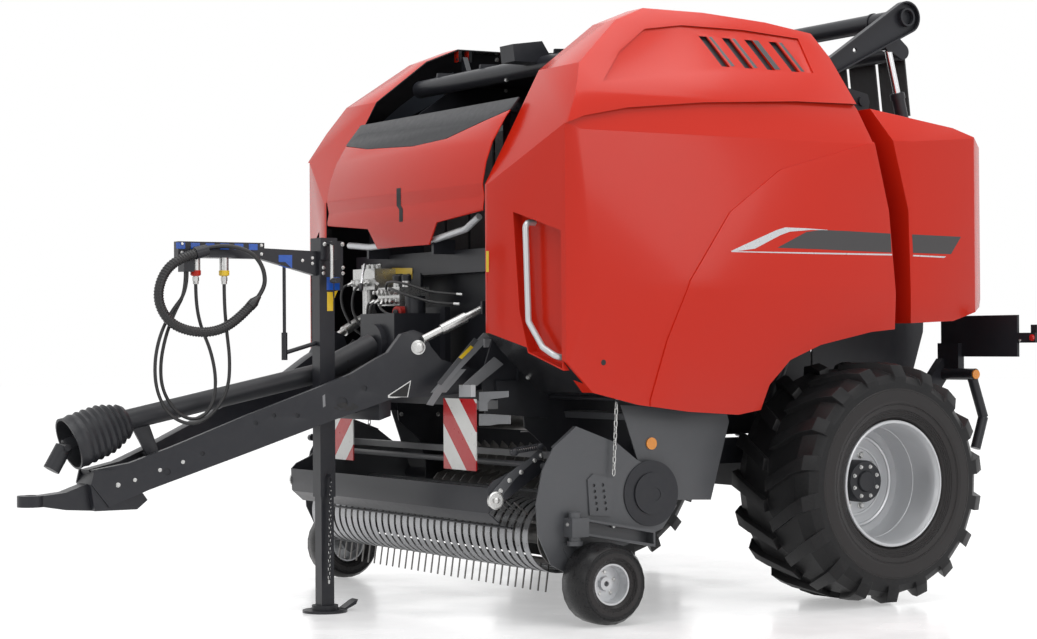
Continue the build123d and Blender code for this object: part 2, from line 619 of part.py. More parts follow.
# Feed rotor
rotor = rod_y(ROTOR_X, ROTOR_Z, ROTOR_CORE_R, -CHAMBER_HALF + RUN, CHAMBER_HALF - RUN)
star_outline = []
for arm_angle in range(0, 360, 90):
    star_outline.append(polar(ROTOR_X, ROTOR_Z, ROTOR_R, arm_angle))
    star_outline.append(polar(ROTOR_X, ROTOR_Z, ROTOR_R - 25, arm_angle + 10))
    star_outline.append(polar(ROTOR_X, ROTOR_Z, ROTOR_CORE_R - 5, arm_angle + 45))
star_pitch = (CHAMBER_WIDTH - 60) / ROTOR_STARS
stars = [slab(star_outline, y - 5, y + 5)
         for y in [(index - (ROTOR_STARS - 1) / 2) * star_pitch for index in range(ROTOR_STARS)]]
rotor = rotor + stars + [rod_y(ROTOR_X, ROTOR_Z, ROTOR_SHAFT_R, -WALL_OUT - 25, WALL_OUT + 25)]
save("feed_rotor", rotor)

# Road wheels: outlines are (across, radius) from the wheel's centre
RIM_OUTLINE = [
    (-RIM_HALF, RIM_LIP_R), (-250, RIM_LIP_R), (-250, RIM_SEAT_R), (250, RIM_SEAT_R), (250, RIM_LIP_R),
    (RIM_HALF, RIM_LIP_R), (RIM_HALF, 286), (235, 272), (-24, 268), (-24, STUB_R + SEAT),
    (-40, STUB_R + SEAT),
    (-40, 268), (-235, 272), (-RIM_HALF, 286),
]
rim = turned(RIM_OUTLINE, 0, WHEEL_Y, WHEEL_R)
rim += turned([(-30, STUB_R + SEAT), (-30, 90), (40, 90), (60, 70), (60, 0), (45, 0), (45, STUB_R + SEAT)],
              0, WHEEL_Y, WHEEL_R)
save_pair("rim", rim)

# Tyre: one closed skin of flat facets. Each lug is a pair of edges that lean round the tyre
# as they go outwards; rows are the rings of points from the crown to the rim and back inside.
LUGS = 18
LUG_PITCH = 360 / LUGS
CHORD = cos(radians(LUG_PITCH * 0.35))
WALL_HIGH = CARCASS_R - RIM_LIP_R
LUG_ROWS = (  # across, groove radius, lug radius, lean, half width in degrees
    (10, CARCASS_R, WHEEL_R, 0.0, 3.0),
    (185, CARCASS_R - 4, WHEEL_R - 1, 9.0, 3.1),
    (262, CARCASS_R - 30, WHEEL_R - 13, 12.0, 3.6),
    (290, CARCASS_R - 68, CARCASS_R - 40, 13.0, 4.0),
)
SIDE_ROWS = (  # across, radius
    (TYRE_HALF, RIM_LIP_R + 0.38 * WALL_HIGH), (272, RIM_LIP_R + 0.07 * WALL_HIGH), (249.5, RIM_LIP_R + 4),
    (249.5, (RIM_SEAT_R + SEAT) / CHORD), (222, (RIM_SEAT_R + SEAT) / CHORD),
    (222, RIM_LIP_R + 0.1 * WALL_HIGH),
    (262, RIM_LIP_R + 0.5 * WALL_HIGH), (236, RIM_LIP_R + 0.82 * WALL_HIGH),
)


def tyre_point(across, radius, angle):
    return Vector(radius * cos(radians(angle)), across, radius * sin(radians(angle)))


def facet(*corners):
    return Face(Wire.make_polygon(list(corners), close=True))


def bridge(first, second):
    """Triangles between two rings whose points lie at different angles."""
    faces = []
    i = j = 0
    while i < len(first) or j < len(second):
        angle_i = first[(i + 1) % len(first)][0] + 360 * ((i + 1) // len(first))
        angle_j = second[(j + 1) % len(second)][0] + 360 * ((j + 1) // len(second))
        a, b = first[i % len(first)][1], second[j % len(second)][1]
        if j >= len(second) or (i < len(first) and angle_i <= angle_j):
            faces.append(facet(a, first[(i + 1) % len(first)][1], b))
            i += 1
        else:
            faces.append(facet(a, second[(j + 1) % len(second)][1], b))
            j += 1
    return faces


def ring(side, across, radius, lean, half_width):
    """The points round the tyre at the lugs' two edges, with their angles."""
    offset = LUG_PITCH / 2 if side < 0 else 0
    points = []
    for index in range(LUGS):
        for edge in (-half_width, half_width):
            angle = index * LUG_PITCH + offset + edge
            points.append((angle, tyre_point(side * across, radius, angle + lean)))
    return points


def tyre_side(side):
    """Faces of one half, with its innermost and its crown ring."""
    faces = []
    low_rings = [ring(side, across, low, lean, half) for across, low, _, lean, half in LUG_ROWS]
    top_rings = [ring(side, across, top, lean, half) for across, _, top, lean, half in LUG_ROWS]
    count = 2 * LUGS
    for row in range(len(LUG_ROWS) - 1):
        for index in range(count):
            after = (index + 1) % count
            rings = top_rings if index % 2 == 0 else low_rings
            a, b = rings[row][index][1], rings[row][after][1]
            c, d = rings[row + 1][index][1], rings[row + 1][after][1]
            faces += [facet(a, b, d), facet(a, d, c)]
            low_a, low_b = low_rings[row][index][1], low_rings[row + 1][index][1]
            top_a, top_b = top_rings[row][index][1], top_rings[row + 1][index][1]
            faces += [facet(low_a, top_a, top_b), facet(low_a, top_b, low_b)]
    for row in (0, len(LUG_ROWS) - 1):
        for index in range(0, count, 2):
            faces.append(facet(low_rings[row][index][1], low_rings[row][index + 1][1],
                               top_rings[row][index + 1][1], top_rings[row][index][1]))
    lean, half = LUG_ROWS[-1][3:]
    rings = [low_rings[-1]] + [ring(side, across, radius, lean, half) for across, radius in SIDE_ROWS]
    for near, far in zip(rings, rings[1:]):
        for index in range(count):
            after = (index + 1) % count
            faces.append(facet(near[index][1], near[after][1], far[after][1], far[index][1]))
    return faces, low_rings[0], rings[-1]


def by_angle(points):
    """A ring's points in order of the angle at which they really lie."""
    placed = [(degrees(atan2(point.Z, point.X)) % 360, point) for _, point in points]
    return sorted(placed, key=lambda item: item[0])


left_faces, left_crown, left_inner = tyre_side(1)
right_faces, right_crown, right_inner = tyre_side(-1)
skin = left_faces + right_faces
skin += bridge(by_angle(left_crown), by_angle(right_crown))
skin += bridge(by_angle(left_inner), by_angle(right_inner))
save_pair("tyre", Pos(0, WHEEL_Y, WHEEL_R) * Solid(Shell(skin)))

# Side covers: side, plan and end outlines cut from one another, then hollowed
COVER_SIDE = [
    (1876, 1301), (1876, 1978), (1581, 2515), (1279, 2745), (1086, 2822), (736, 2825), (374, 2802),
    (110, 2762), (60, 2639), (35, 2459), (27, 2399), (-35, 2181), (-110, 1884), (-146, 1477), (-146, 1310),
    (2, 1297),
    (311, 1237), (493, 1167), (613, 1052), (661, 936), (790, 916), (1076, 936), (1353, 973), (1598, 1031),
]
COVER_FRONT = 1876.0
CORNER_X = 1740.0
CORNER_Y = COVER_OUT - 22
FACE_START_Y = COVER_IN + 25
COVER_PLAN = [
    (COVER_FRONT, COVER_IN), (COVER_FRONT, FACE_START_Y), (CORNER_X, CORNER_Y), (1600, COVER_OUT),
    (-160, COVER_OUT),
    (-160, COVER_IN),
]
COVER_END = [
    (COVER_IN, 900), (COVER_OUT - 32, 900), (COVER_OUT, 1500), (COVER_OUT - 10, 2200),
    (COVER_OUT - 72, 2370),
    (COVER_IN + 110, 2825), (COVER_IN, 2830),
]
FENDER = [
    (1288, 850), (1288, 994), (1203, 1264), (1078, 1537), (847, 1853), (552, 2057), (-62, 2223),
    (-300, 2280),
    (-300, 850),
]
POD = [
    (1758, 2218), (1640, 2262), (1400, 2310), (962, 2357), (400, 2392), (-60, 2400), (-60, 2900),
    (1300, 2900),
    (1700, 2500),
]
RECESS = [
    (1490, 2430), (1330, 2585), (1130, 2712), (900, 2748), (540, 2750), (207, 2728), (209, 2548),
    (700, 2528),
    (1100, 2488),
]
VENTS = (  # X of the slot's upper edge; the slots lean forward as they rise
    (766, 815), (630, 679), (495, 544), (347, 396),
)
VENT_TOP = 2700.0
VENT_LOW = 2549.0
VENT_LEAN = 62.0
SKIN_DEEP = 4.0


def cover_form(wall, grow):
    """The cover's outer form for wall = 0, the hollow in it for a wall, or a form that stands proud."""
    open_side = 60 * (wall > 0)
    side_face = make_face(Polyline(*COVER_SIDE, close=True))
    plan_face = make_face(Polyline(*[(x, y - open_side * (y == COVER_IN)) for x, y in COVER_PLAN],
        close=True))
    end_face = make_face(Polyline(*[(y - open_side * (y == COVER_IN), z) for y, z in COVER_END], close=True))
    if wall:
        side_face = offset(side_face, amount=-wall, kind=Kind.INTERSECTION)
    if grow != wall:
        plan_face = offset(plan_face, amount=grow - wall, kind=Kind.INTERSECTION)
        end_face = offset(end_face, amount=grow - wall, kind=Kind.INTERSECTION)
    form = Pos(0, 500, 0) * extrude(Plane.XZ * side_face, amount=-1000)
    form &= Pos(0, 0, 850) * extrude(plan_face, amount=2100)
    end_plane = Plane(origin=(-300, 0, 0), x_dir=(0, 1, 0), z_dir=(1, 0, 0))
    return form & extrude(end_plane * end_face, amount=2300)


# The grip pocket lies in the cover's slanted front face: along the face, up
face_along = Vector(CORNER_X - COVER_FRONT, CORNER_Y - FACE_START_Y, 0).normalized()
face_out = face_along.cross(Vector(0, 0, 1))
FACE_PLANE = Plane(origin=(COVER_FRONT, FACE_START_Y, 0), x_dir=face_along, z_dir=face_out)
POCKET = [(150, 1845), (428, 1752), (430, 1140), (236, 1215), (185, 1400)]
POCKET_DEEP = 60.0
HANDLE_ROUTE = [(225, 1795, 2), (240, 1350, 2), (322, 1235, 2), (405, 1190, 2)]


def pocket_prism(grow, low, high):
    face = make_face(Polyline(*POCKET, close=True))
    if grow:
        face = offset(face, amount=grow, kind=Kind.INTERSECTION)
    return FACE_PLANE * Pos(0, 0, low) * extrude(face, amount=high - low)


def vent(edges, grow, low, high):
    start, end = edges
    return slab([(start - grow, VENT_TOP + grow), (end + grow, VENT_TOP + grow),
                 (end + grow - VENT_LEAN, VENT_LOW - grow), (start - grow - VENT_LEAN, VENT_LOW - grow)],
                 low, high)


hollow = cover_form(COVER_WALL, 0)
outer = cover_form(0, 0)
outer += cover_form(0, COVER_RAISE) & slab(FENDER, COVER_OUT - 140, COVER_OUT + 60)
outer += cover_form(0, 2 * COVER_RAISE) & slab(POD, COVER_IN + 40, COVER_OUT + 60)
outer -= slab(RECESS, COVER_IN, COVER_OUT + 60) - cover_form(0, COVER_RAISE)
cover = outer - hollow
cover -= block(-130, 1540, COVER_IN - 10, COVER_OUT - 60, 850, 1345)
cover -= pocket_prism(0, -POCKET_DEEP - 20, 30)
cover += pocket_prism(COVER_WALL, -POCKET_DEEP - COVER_WALL, -COVER_WALL / 2) - pocket_prism(0,
    -POCKET_DEEP, 30)
for edges in VENTS:
    cover -= vent(edges, 0, COVER_IN + 20, COVER_OUT + 60)
for x, lug_top in COVER_HINGES:
    for lug_x in (x - 42, x + 22):
        cover += block(lug_x, lug_x + 20, COVER_HINGE_Y - 14, COVER_HINGE_Y + 30, COVER_HINGE_Z - 14,
            lug_top)
    cover -= rod_x(COVER_HINGE_Y, COVER_HINGE_Z, COVER_PIN_R + SEAT, x - 46, x + 46)
save_pair("side_cover", cover)
vent_liner = hollow - cover_form(COVER_WALL + SKIN_DEEP, 0)
save_pair("vent_panel", vent_liner & slab([(860, 2728), (230, 2728), (200, 2520), (800, 2520)],
    COVER_IN + 90, COVER_OUT + 60))
handle_points = [FACE_PLANE.from_local_coords((along, up, out)) for along, up, out in HANDLE_ROUTE]
floor_points = [FACE_PLANE.from_local_coords((along, up, -POCKET_DEEP)) for along, up,
    _ in (HANDLE_ROUTE[0], HANDLE_ROUTE[-1])]
handle_route = [floor_points[0]] + handle_points + [floor_points[1]]
save_pair("cover_handle", bent_tube(handle_route, HANDLE_R, 30))

# Front hood: a bent sheet with a dark band along its top, hung from the front frame's posts
HOOD_OUTER = [
    (1681, 2388), (1761, 2289), (1828, 2178), (1864, 2081), (1882, 1985), (1872, 1925), (1880, 1880),
    (1868, 1722),
]
HOOD_SHEET = 8.0
HOOD_EDGE = [
    (-HOOD_HALF, 2400), (HOOD_HALF, 2400), (HOOD_HALF, 1860), (345, 1825), (260, 1724), (-260, 1724),
    (-345, 1825),
    (-HOOD_HALF, 1860),
]
BAND_EDGE = [
    (-HOOD_HALF - 5, 2277), (-500, 2240), (0, 2216), (300, 2228), (HOOD_HALF + 5, 2330),
    (HOOD_HALF + 5, 2450),
    (-HOOD_HALF - 5, 2450),
]
hood_sheet = slab(HOOD_OUTER + [(x - HOOD_SHEET, z - 2) for x, z in reversed(HOOD_OUTER)], -HOOD_HALF,
    HOOD_HALF)
hood_sheet &= front(HOOD_EDGE, 1500, 2000)
band_cut = front(BAND_EDGE, 1500, 2000)
hood_band = hood_sheet & band_cut
LUG_OUTLINE = [(1626, 2325), (1664, 2325), (1715, 2336), (1729, 2330), (1690, 2366), (1640, 2368)]
for low in (POST_IN - 19, POST_OUT + 5):
    lug = slab(LUG_OUTLINE, low, low + 14)
    lug -= rod_y(HOOD_HINGE_X, HOOD_HINGE_Z, 10 + SEAT, low - 5, low + 20)
    hood_band += lug
    hood_band += mirrored(lug)
save("front_hood", hood_sheet - band_cut)
save("hood_band", hood_band)

# Tailgate: walls with hinge lugs, cross tubes and the two side panels
TAIL_WALL = [
    (SPLIT_X - SPLIT_GAP, 2330), (SPLIT_X - SPLIT_GAP, 800), (-500, 800), (-700, 930), (-850, 1100),
    (-920, 1300),
    (-930, 1500), (-905, 1800), (-840, 2100), (-760, 2250), (-560, 2400), (-535, 2530), (-440, 2530),
    (-420, 2400),
]
tail_wall = slab(TAIL_WALL, CHAMBER_HALF, WALL_OUT)
tail_wall -= rod_y(HINGE_X, HINGE_Z, HINGE_PIN_R + SEAT, CHAMBER_HALF - 20, WALL_OUT + 20)
tail_wall += rod_y(LIFT_PIN[0], LIFT_PIN[1], 35, WALL_OUT, LIFT_Y - 20 - SEAT)
tail_wall += rod_y(TENSION_BASE[0], TENSION_BASE[1], 30, WALL_OUT, TENSION_Y - 20 - SEAT)
tail_tubes = [block(x, x + 60, -CHAMBER_HALF, CHAMBER_HALF, z, z + 60)
              for x, z in ((-890, 1400), (-820, 2000), (-600, 840))]
tail_tubes += [rod_y(x, z, 39.7, -CHAMBER_HALF, CHAMBER_HALF) for x,
    z in ((-694.3, 1012.4), (-749.6, 2130.5))]
save("tailgate_frame", tail_wall + [mirrored(tail_wall)] + tail_tubes)
PANEL_SIDE = [
    (-97, 2386), (-156, 2212), (-247, 1888), (-262, 1339), (-548, 1350), (-797, 1421), (-867, 1540),
    (-872, 1900),
    (-838, 2218), (-590, 2310),
]
PANEL_FLANGE = 1030.0


def panel_form(wall):
    """The tail panel's outer form for wall = 0, and the hollow in it for a wall's thickness."""
    inner = PANEL_IN - 60 * (wall > 0)
    side_face = make_face(Polyline(*PANEL_SIDE, close=True))
    plan_face = make_face(Polyline((-50, inner), (-50, PANEL_OUT), (-275, PANEL_OUT), (-700, PANEL_OUT - 22),
                                   (-820, PANEL_OUT - 112), (-872, PANEL_OUT - 262), (-900, inner),
                                   close=True))
    end_face = make_face(Polyline((inner, 1300), (PANEL_OUT - 8, 1300), (PANEL_OUT, 1480), (PANEL_OUT, 2225),
                                  (PANEL_OUT - 112, 2400), (inner, 2400), close=True))
    if wall:
        side_face = offset(side_face, amount=-wall, kind=Kind.INTERSECTION)
        plan_face = offset(plan_face, amount=-wall, kind=Kind.INTERSECTION)
        end_face = offset(end_face, amount=-wall, kind=Kind.INTERSECTION)
    form = Pos(0, 500, 0) * extrude(Plane.XZ * side_face, amount=-1000)
    form &= Pos(0, 0, 1200) * extrude(plan_face, amount=1300)
    end_plane = Plane(origin=(-1000, 0, 0), x_dir=(0, 1, 0), z_dir=(1, 0, 0))
    return form & extrude(end_plane * end_face, amount=1000)


panel = panel_form(0) - panel_form(PANEL_WALL)
panel -= slab([(-60, 2370), (-300, 2330), (-300, 1352), (-200, 1352)], PANEL_IN - 10, PANEL_FLANGE)
panel += block(-700, -640, WALL_OUT, PANEL_OUT - 40, 1600, 1660)
panel += block(-700, -640, PANEL_OUT - 60, PANEL_OUT - 22, 1590, 1670)
save("tail_panels", both(panel))

# Belt tension arm: two plates on the fixed frame's pins, the tube across and the belts' roller


def strap(first, first_r, second, second_r, low, high):
    """A plate whose ends are rounded about two points."""
    along = Vector(second[0] - first[0], 0, second[1] - first[1]).normalized()
    side = Vector(-along.Z, 0, along.X)
    corners = [(first[0] + side.X * first_r, first[1] + side.Z * first_r),
               (second[0] + side.X * second_r, second[1] + side.Z * second_r),
               (second[0] - side.X * second_r, second[1] - side.Z * second_r),
               (first[0] - side.X * first_r, first[1] - side.Z * first_r)]
    return slab(corners, low, high) + [
        rod_y(first[0], first[1], first_r, low, high), rod_y(second[0], second[1], second_r, low, high)]


arm_pivot = (ARM_X, ARM_Z)
arm_end = (ARM_TUBE_X, ARM_TUBE_Z)
arm_plate = strap(arm_pivot, 44, arm_end, 82, ARM_Y, ARM_Y + ARM_PLATE)
arm_plate += rod_y(TENSION_PIN[0], TENSION_PIN[1], 40, ARM_Y, ARM_Y + ARM_PLATE)
arm_mid = ((ARM_X * 2 + ARM_TUBE_X) / 3, (ARM_Z * 2 + ARM_TUBE_Z) / 3)
arm_plate -= rod_y(arm_mid[0], arm_mid[1], 13, ARM_Y - 5, ARM_Y + 30)
arm_plate += strap(arm_pivot, 44, arm_end, 82, ARM_Y + ARM_PLATE, ARM_Y + ARM_PLATE + 26) - strap(
    arm_pivot, 36, arm_end, 74, ARM_Y, ARM_Y + 60)
arm_plate -= rod_y(ARM_X, ARM_Z, 20 + SEAT, ARM_Y - 5, ARM_Y + 60)
arm_plate -= rod_y(ARM_X, ARM_Z, 30, ARM_Y + ARM_PLATE, ARM_Y + 60)
roller_plate = strap(arm_end, 52, ARM_ROLLER, 40, WALL_OUT, WALL_OUT + 12)
arm_tube = rod_y(ARM_TUBE_X, ARM_TUBE_Z, ARM_TUBE_R, -ARM_Y - ARM_PLATE - 26, ARM_Y + ARM_PLATE + 26)
tube_mouth = rod_y(ARM_TUBE_X, ARM_TUBE_Z, ARM_TUBE_R - 10, ARM_Y, ARM_Y + 60)
arm_tube = arm_tube - tube_mouth - mirrored(tube_mouth)
arm_roller = rod_y(ARM_ROLLER[0], ARM_ROLLER[1], ARM_ROLLER_R, -WALL_OUT, WALL_OUT)
save("tension_arm", arm_plate + [mirrored(arm_plate), arm_tube, roller_plate, mirrored(roller_plate),
    arm_roller])


def cylinder_pair(base, pin, y, bore_r, rod_r, barrel_part, rod_start):
    """Barrel and rod between two pins, each with an eye that lies beside its bracket."""
    line = Vector(pin[0] - base[0], 0, pin[1] - base[1])
    unit = line.normalized()
    start = Vector(base[0], y, base[1])
    end = Vector(pin[0], y, pin[1])
    top = start + unit * (line.length * barrel_part)
    barrel = rod(tuple(start + unit * 60), tuple(top), bore_r)
    barrel += rod(tuple(top - unit * 34), tuple(top - unit * 4), bore_r + 5)
    barrel += rod(tuple(start), tuple(start + unit * 60), 18)
    barrel += rod_y(base[0], base[1], bore_r, y - 20, y + 20)
    barrel -= rod(tuple(start + unit * 75), tuple(top + unit * 5), rod_r + SEAT)
    piston = rod(tuple(start + unit * rod_start), tuple(end), rod_r)
    piston += rod_y(pin[0], pin[1], rod_r + 14, y - 20, y + 20)
    return barrel, piston


barrel, piston = cylinder_pair(TENSION_BASE, TENSION_PIN, TENSION_Y, 33, 18, 0.66, 230)
save("tension_barrels", both(barrel))
save("tension_rods", both(piston))
barrel, piston = cylinder_pair(LIFT_BASE, LIFT_PIN, LIFT_Y, 32, 18, 0.72, 85)
save("lift_barrels", both(barrel))
save("lift_rods", both(piston))

# Pickup frame: side plates, rear tube, stripper rails, guard pivot tube and gauge wheel arms
SIDE_PLATE_OUTLINE = [
    (1835, 540), (1800, 690), (1740, 790), (1620, 880), (1400, 800), (1290, 720), (1080, 620), (1070, 500),
    (1150, 400), (1370, 330), (1405, 205), (1640, 205), (1760, 270), (1825, 400),
]
plate_out = SIDE_PLATE_Y + SIDE_PLATE
CASTER_X = 1655.0
CASTER_Y = SIDE_PLATE_Y + 45
plate = slab(SIDE_PLATE_OUTLINE, SIDE_PLATE_Y, plate_out)
plate += slab([(1400, 800), (1620, 880), (1740, 790), (1730, 780), (1618, 868), (1404, 789)],
    plate_out - 24, plate_out)
plate -= rod_y(ROTOR_X, ROTOR_Z, PIVOT_R + SEAT, SIDE_PLATE_Y - 5, plate_out + 20)
HOLE_ROWS = 5
HOLE_PITCH = 27.0
hole_plate = slab([(1440, 470), (1555, 480), (1565, 640), (1535, 665), (1425, 640)], plate_out,
    plate_out + 8)
for row in range(HOLE_ROWS):
    for column in (0, 1):
        hole_plate -= rod_y(1468 + 48 * column + 4 * row, 505 + HOLE_PITCH * row, 8, plate_out - 2,
            plate_out + 10)
gauge_arm = slab([(1240, 327), (1620, 397), (1620, 472), (1240, 402)], plate_out, SIDE_PLATE_Y + 78)
gauge_arm -= slab([(1250, 340), (1600, 405), (1600, 458), (1250, 390)], plate_out + 12, SIDE_PLATE_Y + 90)
gauge_arm += block(1600, 1690, plate_out, SIDE_PLATE_Y + 78, 390, 475)
gauge_arm += rod_z(CASTER_X, CASTER_Y, 28, 352, 500)
gauge_arm += rod_z(CASTER_X, CASTER_Y, 36, 352, 372)
FORK = [(1695, 362), (1690, 330), (1590, 160), (1560, 140), (1530, 160), (1540, 205), (1615, 345),
    (1620, 362)]
gauge_arm += slab(FORK, plate_out, plate_out + 8)
gauge_arm += rod_y(GAUGE_X, GAUGE_R, 12, plate_out, GAUGE_Y + 15)
rails = [
    block(STRIP_RAIL_REAR, STRIP_RAIL_FRONT, -SIDE_PLATE_Y, SIDE_PLATE_Y, PICKUP_Z + BAND_R - 3,
        PICKUP_Z + BAND_R + 9),
    block(STRIP_RAIL_REAR, STRIP_RAIL_FRONT, -SIDE_PLATE_Y, SIDE_PLATE_Y, PICKUP_Z - BAND_R - 9,
        PICKUP_Z - BAND_R + 3),
]
rear_tube = block(1385, 1405, -SIDE_PLATE_Y, SIDE_PLATE_Y, 300, 400)
guard_tube = rod_y(GUARD_X, GUARD_Z, GUARD_PIN_R, -SIDE_PLATE_Y, SIDE_PLATE_Y)
top_rail = block(1622, 1662, -SIDE_PLATE_Y, SIDE_PLATE_Y, 730, 760)
save("pickup_frame", plate + [
    mirrored(plate), hole_plate, mirrored(hole_plate), gauge_arm, mirrored(gauge_arm), guard_tube, rear_tube,
    top_rail] + rails)
pivot_disc = rod_y(1215, 565, 150, plate_out, plate_out + 6) + rod_y(1215, 565, 95, plate_out + 6,
    plate_out + 14)
save("pivot_discs", both(pivot_disc - rod_y(ROTOR_X, ROTOR_Z, PIVOT_R + SEAT, SIDE_PLATE_Y, plate_out + 40)))

# Stripper bands: U-shaped strips between the tines, held by the two rails
BAND_PITCH = 2 * (SIDE_PLATE_Y - 95) / (BAND_COUNT - 1)
band_rows = [(index - (BAND_COUNT - 1) / 2) * BAND_PITCH for index in range(BAND_COUNT)]
bands = []
for y in band_rows:
    low, high = y - BAND_WIDTH / 2, y + BAND_WIDTH / 2
    outer = rod_y(PICKUP_X, PICKUP_Z, BAND_R, low, high)
    outer += block(STRIP_RAIL_FRONT, PICKUP_X, low, high, PICKUP_Z - BAND_R, PICKUP_Z + BAND_R)
    inner = rod_y(PICKUP_X, PICKUP_Z, BAND_R - BAND_SHEET, low - 1, high + 1)
    inner += block(STRIP_RAIL_FRONT - 1, PICKUP_X, low - 1, high + 1, PICKUP_Z - BAND_R + BAND_SHEET,
                   PICKUP_Z + BAND_R - BAND_SHEET)
    bands.append(outer - inner)
save("stripper_bands", Compound(bands))

# Reel: shaft, end discs, tine bars and tines
reel = rod_y(PICKUP_X, PICKUP_Z, REEL_CORE_R, -SIDE_PLATE_Y + SEAT, SIDE_PLATE_Y - SEAT)
reel_parts = []
for way in (-1, 1):
    disc_y = way * (SIDE_PLATE_Y - 30)
    reel_parts.append(rod_y(PICKUP_X, PICKUP_Z, BAR_RING_R + 25, disc_y - 4, disc_y + 4))
for row in range(TINE_ROWS):
    angle = TINE_FIRST + 360 / TINE_ROWS * row
    bar_x, bar_z = polar(PICKUP_X, PICKUP_Z, BAR_RING_R, angle)
    tip_x, tip_z = polar(PICKUP_X, PICKUP_Z, TINE_TIP_R, angle)
    reel_parts.append(rod_y(bar_x, bar_z, BAR_R, -SIDE_PLATE_Y + 25, SIDE_PLATE_Y - 25))
    for y in band_rows[:-1]:
        tine_y = y + BAND_PITCH / 2
        reel_parts.append(bar((bar_x, tine_y, bar_z), (tip_x, tine_y, tip_z), TINE_SIDE))
save("pickup_reel", reel + reel_parts)

# Wind guard: folded sheet with its arms, the roller's brackets, and the roller with its end caps
ROLLER_X = 1952.0
ROLLER_Z = 545.0
guard = slab([(1985, 612), (1980, 500), (1922, 450), (1925, 446), (1984, 497), (1989, 612)], -GUARD_HALF,
    GUARD_HALF)
GUARD_ARM = [
    (1989, 612), (1960, 640), (GUARD_X + 60, GUARD_Z + 24), (GUARD_X + 10, GUARD_Z + 26),
    (GUARD_X - 24, GUARD_Z + 14),
    (GUARD_X - 24, GUARD_Z - 14), (GUARD_X, GUARD_Z - 26), (1984, 500),
]
guard_arm = slab(GUARD_ARM, GUARD_HALF, GUARD_HALF + 8)
guard_arm -= rod_y(GUARD_X, GUARD_Z, GUARD_PIN_R + SEAT, GUARD_HALF - 5, GUARD_HALF + 20)
save("wind_guard", guard + [guard_arm, mirrored(guard_arm)])
guard_roller = rod_y(ROLLER_X, ROLLER_Z, 22, -GUARD_HALF, GUARD_HALF)
save("guard_roller", guard_roller)

# Gauge wheels: the tyre's bore stands clear of the rim by its flats
GAUGE_BORE = (GAUGE_RIM_R + SEAT) / cos(radians(180 / GAUGE_FACETS))
GAUGE_TYRE = [
    (-70, GAUGE_BORE), (-GAUGE_HALF, 120), (-90, 162), (-62, 180), (0, GAUGE_R), (62, 180), (90, 162),
    (GAUGE_HALF, 120), (70, GAUGE_BORE),
]
GAUGE_RIM = [
    (-70, GAUGE_RIM_R), (70, GAUGE_RIM_R), (70, 84), (8, 80), (8, 34), (26, 30), (26, 12.3), (-26, 12.3),
    (-26, 30),
    (-8, 34), (-8, 80), (-70, 84),
]
gauge_tyre = faceted(GAUGE_TYRE, GAUGE_FACETS, 0, 0, 0)
save_pair("gauge_tyre", Pos(GAUGE_X, GAUGE_Y, GAUGE_R) * Rot(0, 180 / GAUGE_FACETS, 0) * gauge_tyre)
save_pair("gauge_rim", turned(GAUGE_RIM, GAUGE_X, GAUGE_Y, GAUGE_R))
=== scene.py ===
import json
from math import cos, pi, radians, sin

import bmesh
import bpy
from mathutils import Matrix, Vector
from mathutils.bvhtree import BVHTree


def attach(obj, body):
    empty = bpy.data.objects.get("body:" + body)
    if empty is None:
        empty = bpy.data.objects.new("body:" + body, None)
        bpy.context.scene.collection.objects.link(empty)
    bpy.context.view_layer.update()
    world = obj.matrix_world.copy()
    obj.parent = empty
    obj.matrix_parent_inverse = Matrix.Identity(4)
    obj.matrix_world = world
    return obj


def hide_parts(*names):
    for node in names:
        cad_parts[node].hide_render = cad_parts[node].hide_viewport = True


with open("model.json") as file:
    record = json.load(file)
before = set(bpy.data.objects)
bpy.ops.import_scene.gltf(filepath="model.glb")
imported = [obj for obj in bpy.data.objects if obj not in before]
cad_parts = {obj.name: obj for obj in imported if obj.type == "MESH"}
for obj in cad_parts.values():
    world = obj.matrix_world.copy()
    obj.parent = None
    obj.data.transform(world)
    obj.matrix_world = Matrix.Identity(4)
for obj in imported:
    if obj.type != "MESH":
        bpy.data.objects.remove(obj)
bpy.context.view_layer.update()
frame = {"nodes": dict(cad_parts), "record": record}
nodes = frame["nodes"]
body_names = {node: body for body, held in frame["record"]["behaviour"]["bodies"].items() for node in held}

SIDES = (1, -1)  # left, right
AXLE_X = -1398.0  # of the road wheels in the frame, in millimetres
WHEEL_Z = 577
GAUGE_X = 1553
GAUGE_Z = 184


def at(x, y, z):
    """A point given in millimetres from the axle's plane, the middle and the floor."""
    return Vector(((x + AXLE_X) / 1000, y / 1000, z / 1000))


# Camera at the photograph's viewing angle
IMAGE_WIDTH = 1037
IMAGE_HEIGHT = 639
FOCAL_PX = 2264.27
SENSOR_WIDTH = 36.0
YAW = 0.5573
PITCH = 0.0103
ROLL = -0.0063
eye = Vector((5.7978, 9.6082, 1.2554))
ahead = Vector((-sin(YAW) * cos(PITCH), -cos(YAW) * cos(PITCH), sin(PITCH)))
level_right = ahead.cross(Vector((0, 0, 1))).normalized()
level_up = level_right.cross(ahead)
right = cos(ROLL) * level_right + sin(ROLL) * level_up
up = -sin(ROLL) * level_right + cos(ROLL) * level_up
camera_data = bpy.data.cameras.new("camera")
camera_data.sensor_fit = "HORIZONTAL"
camera_data.sensor_width = SENSOR_WIDTH
camera_data.lens = SENSOR_WIDTH * FOCAL_PX / IMAGE_WIDTH
camera_data.clip_end = 200.0
camera = bpy.data.objects.new("camera", camera_data)
bpy.context.collection.objects.link(camera)
camera.matrix_world = Matrix((
    (right.x, up.x, -ahead.x, eye.x), (right.y, up.y, -ahead.y, eye.y),
    (right.z, up.z, -ahead.z, eye.z), (0, 0, 0, 1)))
